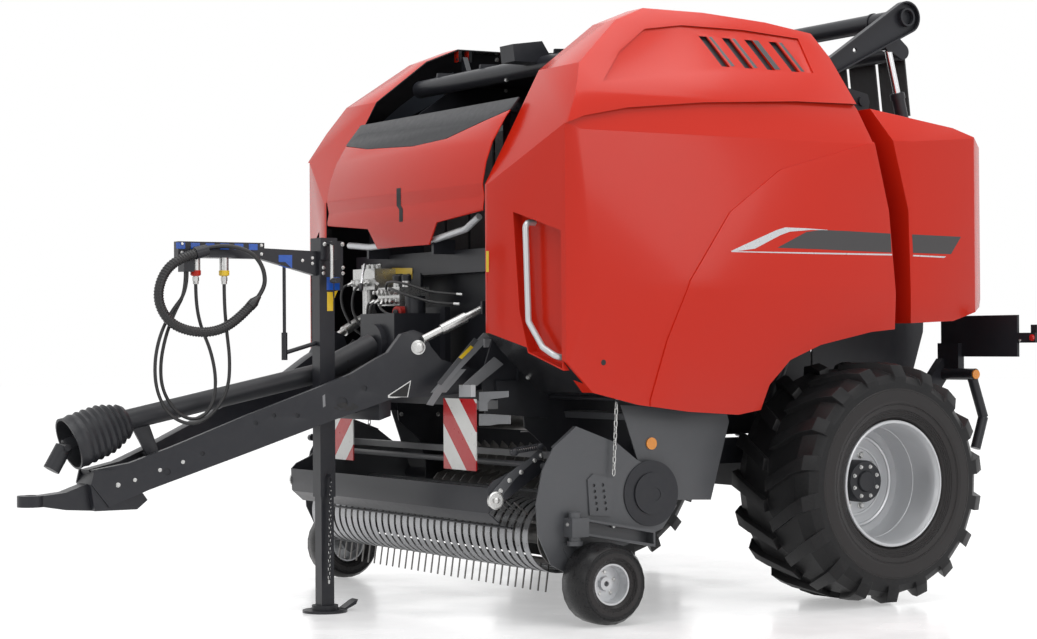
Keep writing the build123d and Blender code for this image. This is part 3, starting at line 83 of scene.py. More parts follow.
bpy.context.scene.camera = camera
bpy.context.scene.view_settings.view_transform = "Standard"
bpy.context.scene.view_settings.look = "None"


def pixel_ray(px, py):
    """The direction of the sight line through a pixel of the photograph."""
    across = (px - IMAGE_WIDTH / 2) / FOCAL_PX
    down = (py - IMAGE_HEIGHT / 2) / FOCAL_PX
    return (ahead + right * across - up * down).normalized()


# Materials: a tree of noise for colour, roughness and bump, in metres of the model
class Tree:
    def __init__(self, name):
        self.material = bpy.data.materials.new(name)
        self.material.use_nodes = True
        self.nodes = self.material.node_tree.nodes
        self.links = self.material.node_tree.links
        self.shader = self.nodes["Principled BSDF"]
        self.coordinates = self.nodes.new("ShaderNodeTexCoord").outputs

    def put(self, socket, value):
        if isinstance(value, bpy.types.NodeSocket):
            self.links.new(value, socket)
        else:
            socket.default_value = value

    def math(self, operation, first, second=0.0):
        node = self.nodes.new("ShaderNodeMath")
        node.operation = operation
        self.put(node.inputs[0], first)
        self.put(node.inputs[1], second)
        return node.outputs[0]

    def noise(self, scale, detail):
        node = self.nodes.new("ShaderNodeTexNoise")
        node.inputs["Scale"].default_value = scale
        node.inputs["Detail"].default_value = detail
        self.links.new(self.coordinates["Object"], node.inputs["Vector"])
        return node.outputs["Fac"]

    def span(self, value, low, high, to_low, to_high):
        node = self.nodes.new("ShaderNodeMapRange")
        self.put(node.inputs["Value"], value)
        ends = {"From Min": low, "From Max": high, "To Min": to_low, "To Max": to_high}
        for socket, number in ends.items():
            node.inputs[socket].default_value = number
        return node.outputs["Result"]

    def mix(self, share, first, second):
        node = self.nodes.new("ShaderNodeMix")
        node.data_type = "RGBA"
        self.put(node.inputs["Factor"], share)
        for socket, colour in (("A", first), ("B", second)):
            if not isinstance(colour, bpy.types.NodeSocket):
                colour = (*colour, 1.0)
            self.put(node.inputs[socket], colour)
        return node.outputs["Result"]

    def axes(self, kind="Object"):
        """X, Y and Z of the place on the model, or of the direction that a face looks in."""
        node = self.nodes.new("ShaderNodeSeparateXYZ")
        self.links.new(self.coordinates[kind], node.inputs[0])
        return node.outputs

    def bump(self, height, strength, distance, below=None):
        node = self.nodes.new("ShaderNodeBump")
        node.inputs["Strength"].default_value = strength
        node.inputs["Distance"].default_value = distance
        self.put(node.inputs["Height"], height)
        if below:
            self.links.new(below, node.inputs["Normal"])
        return node.outputs["Normal"]

    def recolour(self, share, colour):
        """Lays a colour over the base colour where the share is high."""
        base = self.shader.inputs["Base Color"]
        self.put(base, self.mix(share, base.links[0].from_socket, colour))


DUST_COLOUR = (0.36, 0.33, 0.28)
DUST_TOP = 1.6  # height in metres above which the dust is thinnest
COAT_ROUGH = 0.08
GRAIN_DEPTH = 0.001


def shade(colour, factor):
    return tuple(min(1.0, part * factor) for part in colour)


def finish(name, colour, rough, metal=0.0, vary=0.12, patch=4.0, grain=300.0, bump=0.15, coat=0.0,
           dust=0.10, specks=0.0, speck_colour=None, mottle=0.09, gloss=0.5):
    """A worn surface: broad and fine colour changes, dust that thins upwards, specks, grain in the bump."""
    tree = Tree(name)
    broad = tree.noise(patch, 4.0)
    fine = tree.noise(grain, 2.0)
    middle = tree.noise(patch * 9, 5.0)
    base = tree.mix(broad, shade(colour, 1 - vary), shade(colour, 1 + vary))
    low = tree.span(tree.axes()[2], 0.0, DUST_TOP, 1.0, 0.25)
    dusty = tree.math("MULTIPLY", low, tree.span(middle, 0.42, 0.72, 0.0, 1.0))
    base = tree.mix(tree.math("MULTIPLY", dusty, dust), base, DUST_COLOUR)
    rough_value = tree.span(middle, 0.3, 0.7, max(0.03, rough - mottle), min(1.0, rough + mottle))
    if specks:
        edge = 0.69 - specks * 0.12
        spots = tree.span(tree.noise(patch * 30, 6.0), edge, edge + 0.03, 0.0, 1.0)
        spots = tree.math("MULTIPLY", spots, tree.span(broad, 0.45, 0.6, 0.0, 1.0))
        base = tree.mix(spots, base, speck_colour)
    tree.put(tree.shader.inputs["Base Color"], base)
    tree.put(tree.shader.inputs["Roughness"], rough_value)
    tree.shader.inputs["Metallic"].default_value = metal
    tree.shader.inputs["Specular IOR Level"].default_value = gloss
    if coat:
        tree.shader.inputs["Coat Weight"].default_value = coat
        tree.shader.inputs["Coat Roughness"].default_value = COAT_ROUGH
    tree.put(tree.shader.inputs["Normal"], tree.bump(fine, bump, GRAIN_DEPTH))
    return tree


FINISH_VALUES = {
    "red": dict(colour=(0.60, 0.022, 0.008), rough=0.22, vary=0.04, patch=0.8, grain=500, bump=0.003,
                coat=0.08, dust=0.0, mottle=0.015, gloss=0.24),
    "red_matt": dict(colour=(0.42, 0.018, 0.012), rough=0.5, vary=0.08, grain=400, bump=0.08, dust=0.12),
    "dark": dict(colour=(0.020, 0.021, 0.026), rough=0.36, patch=3.0, grain=420, bump=0.04, dust=0.02,
                 mottle=0.03, gloss=0.34),
    "grey": dict(colour=(0.080, 0.083, 0.090), rough=0.36, vary=0.08, grain=380, bump=0.04, dust=0.02,
                 mottle=0.03),
    "band": dict(colour=(0.34, 0.345, 0.355), rough=0.30, metal=0.85, patch=7.0, bump=0.05, dust=0.05,
                 mottle=0.04),
    "silver": dict(colour=(0.60, 0.61, 0.625), rough=0.32, metal=0.35, vary=0.04, patch=3.0, grain=900,
                   bump=0.004, coat=0.1, dust=0.0, mottle=0.01),
    "zinc": dict(colour=(0.55, 0.55, 0.54), rough=0.32, metal=0.9, vary=0.22, patch=20.0, grain=260,
                 bump=0.12, dust=0.05, specks=0.2, speck_colour=(0.25, 0.24, 0.22)),
    "steel": dict(colour=(0.24, 0.235, 0.23), rough=0.42, metal=0.8, vary=0.25, patch=12.0, grain=220,
                  bump=0.22, dust=0.12, specks=0.9, speck_colour=(0.11, 0.065, 0.04)),
    "tine": dict(colour=(0.20, 0.195, 0.19), rough=0.38, metal=0.8, vary=0.25, patch=15.0, grain=220,
                 specks=0.6, speck_colour=(0.10, 0.06, 0.04)),
    "chrome": dict(colour=(0.78, 0.78, 0.80), rough=0.10, metal=1.0, vary=0.04, grain=900, bump=0.02,
                   dust=0.04),
    "plastic": dict(colour=(0.024, 0.025, 0.029), rough=0.44, vary=0.10, grain=900, bump=0.08, dust=0.015,
                    mottle=0.04, gloss=0.35),
    "hose": dict(colour=(0.012, 0.012, 0.013), rough=0.45, vary=0.2, patch=14, grain=500, dust=0.04),
    "blue": dict(colour=(0.012, 0.10, 0.50), rough=0.35, vary=0.06, grain=600, bump=0.05, coat=0.3),
    "yellow": dict(colour=(0.82, 0.55, 0.02), rough=0.38, vary=0.05, grain=600, bump=0.05, coat=0.3),
    "amber": dict(colour=(0.86, 0.29, 0.008), rough=0.18, vary=0.05, patch=30, grain=200, bump=0.12,
                  coat=0.8, dust=0.04),
    "lamp_red": dict(colour=(0.55, 0.015, 0.012), rough=0.18, vary=0.06, patch=30, grain=200, bump=0.25,
                     coat=0.8, dust=0.04),
    "film_silver": dict(colour=(0.62, 0.63, 0.65), rough=0.28, metal=0.4, vary=0.05, patch=3.0, grain=700,
                        bump=0.01, coat=0.5, dust=0.0, mottle=0.02),
    "film_dark": dict(colour=(0.040, 0.037, 0.039), rough=0.34, vary=0.06, grain=700, bump=0.01, coat=0.2,
                      dust=0.0, mottle=0.02),
    # near black that stands for the shade in holes, slots, windows and behind the pickup's bands: painted
    # shade
    "black_gap": dict(colour=(0.010, 0.010, 0.011), rough=0.7, vary=0.2, grain=500, bump=0.1),
    "pane": dict(colour=(0.095, 0.110, 0.135), rough=0.10, patch=2.0, grain=80, bump=0.01, coat=0.6,
                 dust=0.01),
    "pale": dict(colour=(0.22, 0.225, 0.235), rough=0.38, vary=0.06, grain=400, bump=0.06, dust=0.04),
    "brass": dict(colour=(0.58, 0.40, 0.14), rough=0.3, metal=1.0, vary=0.1, grain=500, bump=0.08),
}
FINISHES = {name: finish(name, **values) for name, values in FINISH_VALUES.items()}

# Covers are dark inside, a painted shade. A face is an inner one where it looks to the machine's middle or
# down, and it is painted near black as shade
COVER_PAINTED_SHADE = (0.014, 0.014, 0.016)
cover = finish("cover", **FINISH_VALUES["red"])
facing = cover.axes("Normal")
outward = cover.math("MULTIPLY", cover.math("SIGN", cover.axes()[1]), facing[1])
outward = cover.math("ADD", outward, cover.math("MULTIPLY", facing[2], 0.5))
cover.recolour(cover.math("LESS_THAN", outward, -0.28), COVER_PAINTED_SHADE)
FINISHES["cover"] = cover


def tyre_finish(name, hub, rough, ribs, wall):
    """Rubber with rings of fine ribs (inner radius, outer radius, pitch) and a paler side wall."""
    tree = finish(name, (0.0095, 0.0095, 0.0105), rough, vary=0.2, patch=9.0, grain=260, bump=0.12,
                  dust=0.02, mottle=0.05, gloss=0.24)
    x, _, z = tree.axes()
    along = tree.math("POWER", tree.math("SUBTRACT", x, hub.x), 2.0)
    height = tree.math("POWER", tree.math("SUBTRACT", z, hub.z), 2.0)
    radius = tree.math("SQRT", tree.math("ADD", along, height))
    relief = 0.0
    for inner, outer, pitch in ribs:
        inside = tree.math("MULTIPLY", tree.math("GREATER_THAN", radius, inner),
                           tree.math("LESS_THAN", radius, outer))
        wave = tree.math("SINE", tree.math("MULTIPLY", radius, 2 * pi / pitch))
        relief = tree.math("ADD", tree.math("MULTIPLY", inside, wave), relief)
    below = tree.shader.inputs["Normal"].links[0].from_socket
    tree.put(tree.shader.inputs["Normal"], tree.bump(relief, 0.8, 0.003, below))
    tree.recolour(tree.math("MULTIPLY", tree.math("LESS_THAN", radius, wall), 0.75), (0.034, 0.031, 0.031))
    return tree


FINISHES["tyre"] = tyre_finish("tyre", at(0, 0, WHEEL_Z), 0.42, (
    (0.300, 0.309, 0.009), (0.318, 0.352, 0.0085), (0.372, 0.381, 0.009), (0.440, 0.452, 0.012)), 0.452)
FINISHES["gauge_tyre"] = tyre_finish("gauge_tyre", at(GAUGE_X, 0, GAUGE_Z), 0.30, (
    (0.105, 0.120, 0.005), (0.150, 0.156, 0.006)), 0.140)

# Belts: a rough top with crossing grooves
GROOVE_RATE = 520.0  # radians a metre
belt = finish("belt", (0.028, 0.028, 0.030), 0.66, vary=0.2, patch=5, bump=0.3, dust=0.15)
_, belt_y, belt_z = belt.axes()
waves = [belt.math("SINE", belt.math("MULTIPLY", belt.math(way, belt_y, belt_z), GROOVE_RATE))
         for way in ("ADD", "SUBTRACT")]
belt.put(belt.shader.inputs["Normal"], belt.bump(belt.math("MULTIPLY", *waves), 0.5, 0.002))
FINISHES["belt"] = belt

# Warning boards: red and white bands that slope outwards and down, grey backs and edges
BAND_START = 1.465
BAND_PAIR = 0.262  # a red and a white band together, in metres
BOARD_EDGE_Y = 0.7465
BOARD_FACE_X = 0.5015
board = finish("board", (0.78, 0.78, 0.76), 0.35, vary=0.03, grain=500, bump=0.05, coat=0.4, dust=0.06)
board_x, board_y, board_z = board.axes()
board_out = board.math("ABSOLUTE", board_y)
board_slope = board.math("SUBTRACT", board.math("ADD", board_out, board_z), BAND_START)
board_step = board.math("FRACT", board.math("DIVIDE", board_slope, BAND_PAIR))
board.recolour(board.math("GREATER_THAN", board_step, 0.5), (0.50, 0.006, 0.010))
board_side = board.math("MAXIMUM", board.math("GREATER_THAN", board_out, BOARD_EDGE_Y),
                        board.math("LESS_THAN", board_x, BOARD_FACE_X))
board.recolour(board_side, (0.16, 0.165, 0.17))
FINISHES["board"] = board

NODE_FINISHES = {  # finish: nodes. The others are dark
    "cover": ("side_cover_left", "side_cover_right"),
    "red": ("front_hood", "tail_panels"),
    "silver": ("rim_left", "rim_right", "gauge_rim_left", "gauge_rim_right", "front_rail",
               "cover_handle_left", "cover_handle_right"),
    "tyre": ("tyre_left", "tyre_right"),
    "gauge_tyre": ("gauge_tyre_left", "gauge_tyre_right"),
    "belt": ("front_belts", "rear_belts", "arm_belts"),
    "steel": ("chamber_rollers", "feed_rotor"),
    "tine": ("pickup_reel",),
    "band": ("stripper_bands",),
    "grey": ("lower_shields", "pickup_frame"),
    "pale": ("drive_guards",),
    "board": ("warning_boards",),
    "amber": ("side_reflectors",),
    "chrome": ("tension_rods", "lift_rods"),
    "zinc": ("drawbar_links", "hydraulic_valves", "pickup_chains", "couplings", "guard_roller"),
    "plastic": ("drive_shaft", "vent_panel_left", "vent_panel_right", "hood_band"),
}
finish_of = {name: tree_name for tree_name, names in NODE_FINISHES.items() for name in names}
for name, node in nodes.items():
    node.data.materials.clear()
    node.data.materials.append(FINISHES[finish_of.get(name, "dark")].material)

# Rounded edges and smooth shading on the CAD skins, whose own vertices stay as they are
ROUNDED = {  # width of the rounding in metres: nodes
    0.010: ("side_cover_left", "side_cover_right", "tail_panels"),
    0.006: ("front_hood",),
    0.004: ("drawbar",),
    0.003: ("hood_band", "lower_shields", "tyre_left", "tyre_right"),
    0.002: ("wind_guard",),
    0.0: ("cover_handle_left", "cover_handle_right", "drive_shaft", "rim_left", "rim_right",
          "gauge_rim_left", "gauge_rim_right", "gauge_tyre_left", "gauge_tyre_right", "front_rail",
          "stripper_bands", "lift_barrels", "tension_barrels", "tension_arm"),
}
WELD_GAP = 0.00005
for width, names in ROUNDED.items():
    for name in names:
        node = nodes[name]
        node.data.polygons.foreach_set("use_smooth", [True] * len(node.data.polygons))
        weld = node.modifiers.new("weld", "WELD")
        weld.merge_threshold = WELD_GAP
        if width:
            bevel = node.modifiers.new("bevel", "BEVEL")
            bevel.width = width
            bevel.segments = 3
            bevel.limit_method = "ANGLE"
            bevel.angle_limit = radians(18)
            bevel.use_clamp_overlap = True
            bevel.harden_normals = False
        split = node.modifiers.new("split", "EDGE_SPLIT")
        split.split_angle = radians(34)


# Shapes
def skin(solid, rings, closed=False):
    """Faces between rings of vertices, with caps, or with the last ring joined to the first."""
    following = rings[1:] + rings[:1] if closed else rings[1:]
    for low, high in zip(rings, following):
        for step in range(len(low)):
            after = (step + 1) % len(low)
            solid.faces.new((low[step], low[after], high[after], high[step]))
    if not closed:
        solid.faces.new(rings[0][::-1])
        solid.faces.new(rings[-1])


def hoop(solid, middle, side, other, radius, sides):
    """A ring of vertices round a point."""
    angles = [2 * pi * step / sides for step in range(sides)]
    return [solid.verts.new(middle + (side * cos(angle) + other * sin(angle)) * radius) for angle in angles]


def three_axes(direction):
    """A direction of length 1 and two more that are square to it."""
    axis = Vector(direction).normalized()
    side = axis.orthogonal().normalized()
    return axis, side, axis.cross(side)


def lathe(solid, point, direction, profile, sides=20):
    """A turned solid: rings of (radius, height) in metres along the axis, closed at both ends."""
    axis, side, other = three_axes(direction)
    skin(solid, [hoop(solid, point + axis * height, side, other, radius, sides)
                 for radius, height in profile])


def ring(solid, point, direction, loop, sides):
    """A turned ring: its cross-section is a closed loop of (radius, height) in metres."""
    axis, side, other = three_axes(direction)
    slices = []
    for step in range(sides):
        angle = 2 * pi * step / sides
        out = side * cos(angle) + other * sin(angle)
        slices.append([solid.verts.new(point + axis * height + out * radius) for radius, height in loop])
    skin(solid, slices, closed=True)


def tube(solid, points, radius, sides=10):
    """A round bar along points."""
    rings = []
    side = None
    for index, point in enumerate(points):
        axis = (points[min(index + 1, len(points) - 1)] - points[max(index - 1, 0)]).normalized()
        side = axis.orthogonal() if side is None else side - axis * side.dot(axis)
        side.normalize()
        rings.append(hoop(solid, point, side, axis.cross(side), radius, sides))
    skin(solid, rings)


def helix(start, end, radius, turns, steps):
    """Points of a coil round the line from start to end."""
    _, side, other = three_axes(end - start)
    count = int(turns * steps)
    points = []
    for index in range(count + 1):
        angle = 2 * pi * index / steps
        middle = start + (end - start) * index / count
        points.append(middle + (side * cos(angle) + other * sin(angle)) * radius)
    return points


def wound(line, radius, pitch, steps):
    """Points of a winding round a line, from its points."""
    lengths = [0.0]
    for first, second in zip(line, line[1:]):
        lengths.append(lengths[-1] + (second - first).length)
    total = lengths[-1]
    count = int(total / pitch * steps)
    across = Vector((0, 1, 0))
    points = []
    index = 0
    for step in range(count + 1):
        reach = min(total * step / count, total - 1e-6)
        while lengths[index + 1] < reach:
            index += 1
        share = (reach - lengths[index]) / (lengths[index + 1] - lengths[index])
        middle = line[index] * (1 - share) + line[index + 1] * share
        axis = (line[index + 1] - line[index]).normalized()
        other = axis.cross(across).normalized()
        angle = 2 * pi * step / steps
        points.append(middle + (across * cos(angle) + other * sin(angle)) * radius)
    return points


def smoothed(points, steps=8):
    """Points along a smooth line through the given ones."""
    line = []
    for index in range(len(points) - 1):
        before = points[max(index - 1, 0)]
        here, there = points[index], points[index + 1]
        after = points[min(index + 2, len(points) - 1)]
        for step in range(steps):
            share = step / steps
            line.append(0.5 * (2 * here + (there - before) * share
                               + (2 * before - 5 * here + 4 * there - after) * share ** 2
                               + (3 * here - before - 3 * there + after) * share ** 3))
    line.append(points[-1])
    return line


def link(solid, middle, along, across, scale):
    """An oval link of round bar."""
    half_long, half_wide, bar = 0.0115 * scale, 0.0068 * scale, 0.0030 * scale
    steps = 16
    points = []
    for step in range(steps):
        angle = 2 * pi * step / steps
        end = (sin(angle) > 0.01) - (sin(angle) < -0.01)
        reach = (half_long + 0.002 * scale) * sin(angle) + (half_long - half_wide) * end
        points.append(middle + along * reach + across * half_wide * cos(angle))
    other = along.cross(across)
    rings = []
    for index, point in enumerate(points):
        heading = (points[(index + 1) % steps] - points[index - 1]).normalized()
        rings.append(hoop(solid, point, heading.cross(other), other, bar, 6))
    skin(solid, rings, closed=True)


def link_chain(solid, top, bottom, scale):
    """Round links, each turned a quarter from the one above."""
    axis = (bottom - top).normalized()
    sideways = axis.cross(Vector((1, 0, 0))).normalized()
    crosswise = (sideways, axis.cross(sideways))
    pitch = 0.0272 * scale
    for index in range(int((bottom - top).length / pitch)):
        link(solid, top + axis * (0.017 * scale + pitch * index), axis, crosswise[index % 2], scale)


def strap(solid, outline, y_low, y_high):
    """A flat plate from an outline of (X, Z) in millimetres between two Y values."""
    skin(solid, [[solid.verts.new(at(x, y, z)) for x, z in outline] for y in (y_low, y_high)])


# Pieces: each one holds what a body carries in one finish
groups = {}


def group(body, tree_name):
    return groups.setdefault((body, tree_name), bmesh.new())


def piece_of(solid, name, tree_name, angle=35.0):
    """An object of the finished mesh, shaded smooth up to an angle in degrees."""
    mesh = bpy.data.meshes.new(name)
    bmesh.ops.recalc_face_normals(solid, faces=solid.faces)
    solid.to_mesh(mesh)
    solid.free()
    mesh.polygons.foreach_set("use_smooth", [True] * len(mesh.polygons))
    mesh.set_sharp_from_angle(angle=radians(angle))
    mesh.materials.append(FINISHES[tree_name].material)
    piece = bpy.data.objects.new(name, mesh)
    bpy.context.collection.objects.link(piece)
    return piece


def turned(body, tree_name, place, axis, profile, sides):
    """A turned solid on a body at a place in millimetres."""
    lathe(group(body, tree_name), at(*place), axis, profile, sides)


def bolt(body, point, axis, size):
    """A washer, a hexagon head with a rounded top and its raised face, for a thread's size in metres."""
    solid = group(body, "zinc")
    head = size * 0.2
    lathe(solid, point, axis, ((size * 1.1, -0.001), (size * 1.1, size * 0.16), (size * 1.02, head)))
    lathe(solid, point, axis, (
        (size * 0.92, head * 0.5), (size * 0.92, head + size * 0.5), (size * 0.78, head + size * 0.64)), 6)
    lathe(solid, point, axis, ((size * 0.5, head + size * 0.6), (size * 0.46, head + size * 0.70)), 12)


# Places on the CAD
surfaces = {}


def surface(name):
    """A node's faces, ready for sight lines."""
    if name not in surfaces:
        mesh = nodes[name].data
        surfaces[name] = BVHTree.FromPolygons([vertex.co for vertex in mesh.vertices],
                                              [tuple(face.vertices) for face in mesh.polygons])
    return surfaces[name]


def turned_back(normal, sight):
    """The normal, on the side that a sight line comes from."""
    return normal if normal.dot(sight) < 0 else -normal


def pixel_hit(name, px, py):
    """Where the sight line through a pixel meets a node, or the nearest such place beside it."""
    for shift in (0, -1, 1, -2, 2, -3, 3, -5, 5, -7, 7, -9, 9):
        for place in ((px + shift, py), (px, py + shift)):
            point, normal, _, _ = surface(name).ray_cast(eye, pixel_ray(*place))
            if point is not None:
                return point, turned_back(normal, ahead)
    raise ValueError(f"{name} isn't seen near {px}, {py}")


def line_hit(name, start, axis):
    """Where a line in space meets a node."""
    point, normal, _, _ = surface(name).ray_cast(start, axis)
    if point is None:
        raise ValueError(f"{name} isn't met from {start}")
    return point, turned_back(normal, axis)


def spot(px, py):
    """The nearest place that a pixel of the photograph shows on the CAD: point, normal and body."""
    hits = []
    for name in nodes:
        point, normal, _, distance = surface(name).ray_cast(eye, pixel_ray(px, py))
        if point is not None:
            hits.append((distance, point, normal, body_names[name]))
    if not hits:
        raise ValueError(f"nothing is seen at {px}, {py}")
    _, point, normal, body = min(hits, key=lambda hit: hit[0])
    return point, turned_back(normal, ahead), body


def on_plane(px, py, axis, value):
    """Where the sight line through a pixel meets the plane at X (axis 0) or Y (axis 1), in metres."""
    sight = pixel_ray(px, py)
    return eye + sight * ((value - eye[axis]) / sight[axis])


def seen(px, py, y):
    """X and Z in millimetres where a sight line meets the plane at Y."""
    point = on_plane(px, py, 1, y / 1000)
    return point.x * 1000 - AXLE_X, point.z * 1000


def seen_point(px, py, plane_y, y):
    """The place that a pixel shows on the plane at plane_y, moved to Y, both in millimetres."""
    x, z = seen(px, py, plane_y)
    return at(x, y, z)


def flipped(vector):
    return Vector((vector.x, -vector.y, vector.z))


def panel(body, tree_name, pixels, x, depth):
    """A flat plate across the machine on both sides, from an outline of pixels at X in metres."""
    outline = [on_plane(px, py, 0, x) for px, py in pixels]
    for turn in (Vector, flipped):
        solid = group(body, tree_name)
        front = [solid.verts.new(turn(point)) for point in outline]
        rear = [solid.verts.new(turn(point) - Vector((depth, 0, 0))) for point in outline]
        skin(solid, [front, rear])


def along_line(line, share):
    """The pixel at a share of a line, counted by its points."""
    place = share * (len(line) - 1)
    index = min(int(place), len(line) - 2)
    part = place - index
    return [line[index][axis] * (1 - part) + line[index + 1][axis] * part for axis in (0, 1)]


def film(name, body, tree_name, upper, lower, rows, columns, lift, other_body=None):
    """A thin film on a node between two lines of pixels, and on the other side too if asked."""
    grid = []
    for column in range(columns + 1):
        top = along_line(upper, column / columns)
        low = along_line(lower, column / columns)
        strip = []
        for row in range(rows + 1):
            share = row / rows
            point, normal = pixel_hit(name, top[0] * (1 - share) + low[0] * share,
                                      top[1] * (1 - share) + low[1] * share)
            strip.append(point + normal * lift)
        grid.append(strip)
    for side_body, flip in ((body, False), (other_body, True)):
        if side_body is None:
            continue
        solid = group(side_body, tree_name)
        points = [[solid.verts.new(flipped(point) if flip else point) for point in strip] for strip in grid]
        for first, second in zip(points, points[1:]):
            for row in range(rows):
                corners = (first[row], first[row + 1], second[row + 1], second[row])
                solid.faces.new(corners[::-1] if flip else corners)


# Stripes on the side covers and the tail panels
STRIPES = (  # node, bodies, finish, upper line, lower line
    ("side_cover_left", "cover_left", "cover_right", "film_silver",
     [(731, 251.0), (745, 244.4), (760, 237.6), (776, 230.3), (785, 227.4), (805, 228.2), (827, 229.8)],
     [(731, 251.4), (743, 250.3), (755, 248.6), (780.2, 235.2), (789.9, 231.6), (811, 229.9), (828, 230.2)]),
    ("side_cover_left", "cover_left", "cover_right", "film_silver",
     [(731, 251.1), (812, 252.5), (892, 253.9)], [(731.5, 252.0), (812, 253.9), (892, 255.5)]),
    ("side_cover_left", "cover_left", "cover_right", "film_dark",
     [(777.7, 247.5), (806.2, 232), (820.8, 229.9), (850, 231.2), (890.5, 233.6)],
     [(777.9, 247.8), (800, 248.6), (820, 249.3), (850, 250.8), (891.5, 252.6)]),
    ("tail_panels", "tailgate", "tailgate", "film_silver",
     [(913, 254.9), (930, 255.7), (946, 256.4)], [(913, 256.3), (930, 257.1), (944, 257.9)]),
    ("tail_panels", "tailgate", "tailgate", "film_dark",
     [(912, 234.4), (936, 235.6), (961, 236.8)], [(913, 252.9), (932, 253.6), (950.9, 254.2)]),
)
for name, body, other_body, tree_name, upper, lower in STRIPES:
    film(name, body, tree_name, upper, lower, 4, 24, 0.0006, other_body)

# Wheels: nuts, hub cover with bolts, rings of the rim and valve, and nuts on the gauge wheels
BESIDE_Y = 1700  # clear of the wheels, where lines towards the rims start
RIM_MIDDLE_Y = 1157
HUB_COVER_Y = 1217
COVER_BOLT_CIRCLE = 0.075
HUB_COVER = ((0.1015, -0.083), (0.1015, -0.010), (0.096, 0.0015), (0.052, 0.002), (0.050, 0.010),
             (0.046, 0.014), (0.018, 0.016))
RIM_RINGS = (  # closed cross-sections of (radius, height from the rim's middle) in metres
    ((0.2985, 0.2625), (0.2985, 0.2665), (0.2945, 0.2685), (0.2885, 0.2665), (0.2860, 0.2560)),
    ((0.2860, 0.2300), (0.2790, 0.2260), (0.2740, 0.2120), (0.2740, 0.2050), (0.2860, 0.2050)),
    ((0.2740, 0.1000), (0.2680, 0.0960), (0.2680, 0.0800), (0.2740, 0.0760)),
    ((0.2300, -0.0245), (0.2280, -0.0160), (0.2200, -0.0120), (0.2120, -0.0160), (0.2100, -0.0245)),
    ((0.1750, -0.0245), (0.1730, -0.0190), (0.1660, -0.0170), (0.1590, -0.0190), (0.1570, -0.0245)),
)
VALVE_STEM = ((0.007, -0.004), (0.007, 0.012), (0.0045, 0.016), (0.0045, 0.040), (0.0055, 0.041),
              (0.0055, 0.050))


def wheel_nuts(wheel, side, x, z, circle, count, first, size):
    """Nuts in a circle on the outer face of a rim."""
    name = "left" if side > 0 else "right"
    for step in range(count):
        angle = 2 * pi * step / count + first
        start = at(x + circle * cos(angle), side * BESIDE_Y, z + circle * sin(angle))
        point, normal = line_hit(f"{wheel}rim_{name}", start, Vector((0, -side, 0)))
        bolt(f"{wheel}wheel_{name}", point, normal, size)


for side, name in zip(SIDES, ("left", "right")):
    body = f"wheel_{name}"
    wheel_nuts("", side, 0, WHEEL_Z, 128, 10, 0.0, 0.016)
    hub = at(0, side * HUB_COVER_Y, WHEEL_Z)
    out = Vector((0, side, 0))
    lathe(group(body, "plastic"), hub, out, HUB_COVER, 40)
    for step in range(8):
        angle = 2 * pi * (step + 0.5) / 8
        bolt(body, hub + Vector((cos(angle), 0, sin(angle))) * COVER_BOLT_CIRCLE + out * 0.002, out, 0.009)
    for profile in RIM_RINGS:
        ring(group(body, "silver"), at(0, side * RIM_MIDDLE_Y, WHEEL_Z), out, profile, 96)
    point, _ = line_hit(f"rim_{name}", at(188, side * BESIDE_Y, WHEEL_Z - 118), -out)
    lathe(group(body, "brass"), point, (0.2, side, -0.12), VALVE_STEM, 12)
for side in SIDES:
    wheel_nuts("gauge_", side, GAUGE_X, GAUGE_Z, 52, 5, 0.3, 0.009)

# Cords: hoses on the holder, with the route's points as control points
ROUTES = {  # X, Y, Z in millimetres
    "hose_sleeve": [
        (3050, 215, 1665), (3140, 215, 1640), (3215, 215, 1560), (3235, 215, 1450), (3175, 215, 1350),
        (3060, 215, 1310), (2940, 215, 1315), (2840, 215, 1370), (2770, 215, 1440)],
    "hose_a": [
        (3020, 150, 1530), (3020, 150, 1450), (2998, 150, 1340), (2945, 150, 1225), (2920, 150, 1090),
        (2940, 150, 970), (3020, 150, 910), (3115, 150, 945), (3185, 150, 1050), (3195, 150, 1165),
        (3170, 150, 1290), (3125, 150, 1400), (3070, 150, 1495), (3070, 150, 1585)],
    "hose_b": [
        (2890, 172, 1530), (2890, 172, 1450), (2880, 172, 1325), (2862, 172, 1185), (2872, 172, 1050),
        (2945, 172, 940), (3050, 172, 890), (3160, 172, 935), (3222, 172, 1045), (3232, 172, 1175),
        (3205, 172, 1300), (3150, 172, 1405), (3072, 172, 1495), (3072, 172, 1585)],
    "hose_pipe": [
        (2770, 215, 1440), (2707, 215, 1503), (2704, 208, 1595), (2750, 198, 1668), (2828, 185, 1700),
        (2910, 168, 1706), (2985, 150, 1690)],
}


def cord_piece(name, route, diameter):
    """A smooth round curve with the route's points as its control points."""
    data = bpy.data.curves.new(name, "CURVE")
    data.dimensions = "3D"
    data.resolution_u = 12
    data.bevel_depth = diameter / 2
    data.bevel_resolution = 3
    data.use_fill_caps = True
    spline = data.splines.new("NURBS")
    spline.points.add(len(route) - 1)
    for point, place in zip(spline.points, route):
        point.co = (*at(*place), 1.0)
    spline.order_u = 3
    spline.use_endpoint_u = True
    data.materials.append(FINISHES["hose"].material)
    piece = bpy.data.objects.new(name, data)
    bpy.context.collection.objects.link(piece)
    return piece


def line_of(piece):
    """Points along a curve's own line."""
    depth = piece.data.bevel_depth
    piece.data.bevel_depth = 0.0
    bpy.context.view_layer.update()
    mesh = bpy.data.meshes.new_from_object(piece.evaluated_get(bpy.context.evaluated_depsgraph_get()))
    points = [vertex.co.copy() for vertex in mesh.vertices]
    bpy.data.meshes.remove(mesh)
    piece.data.bevel_depth = depth
    return points


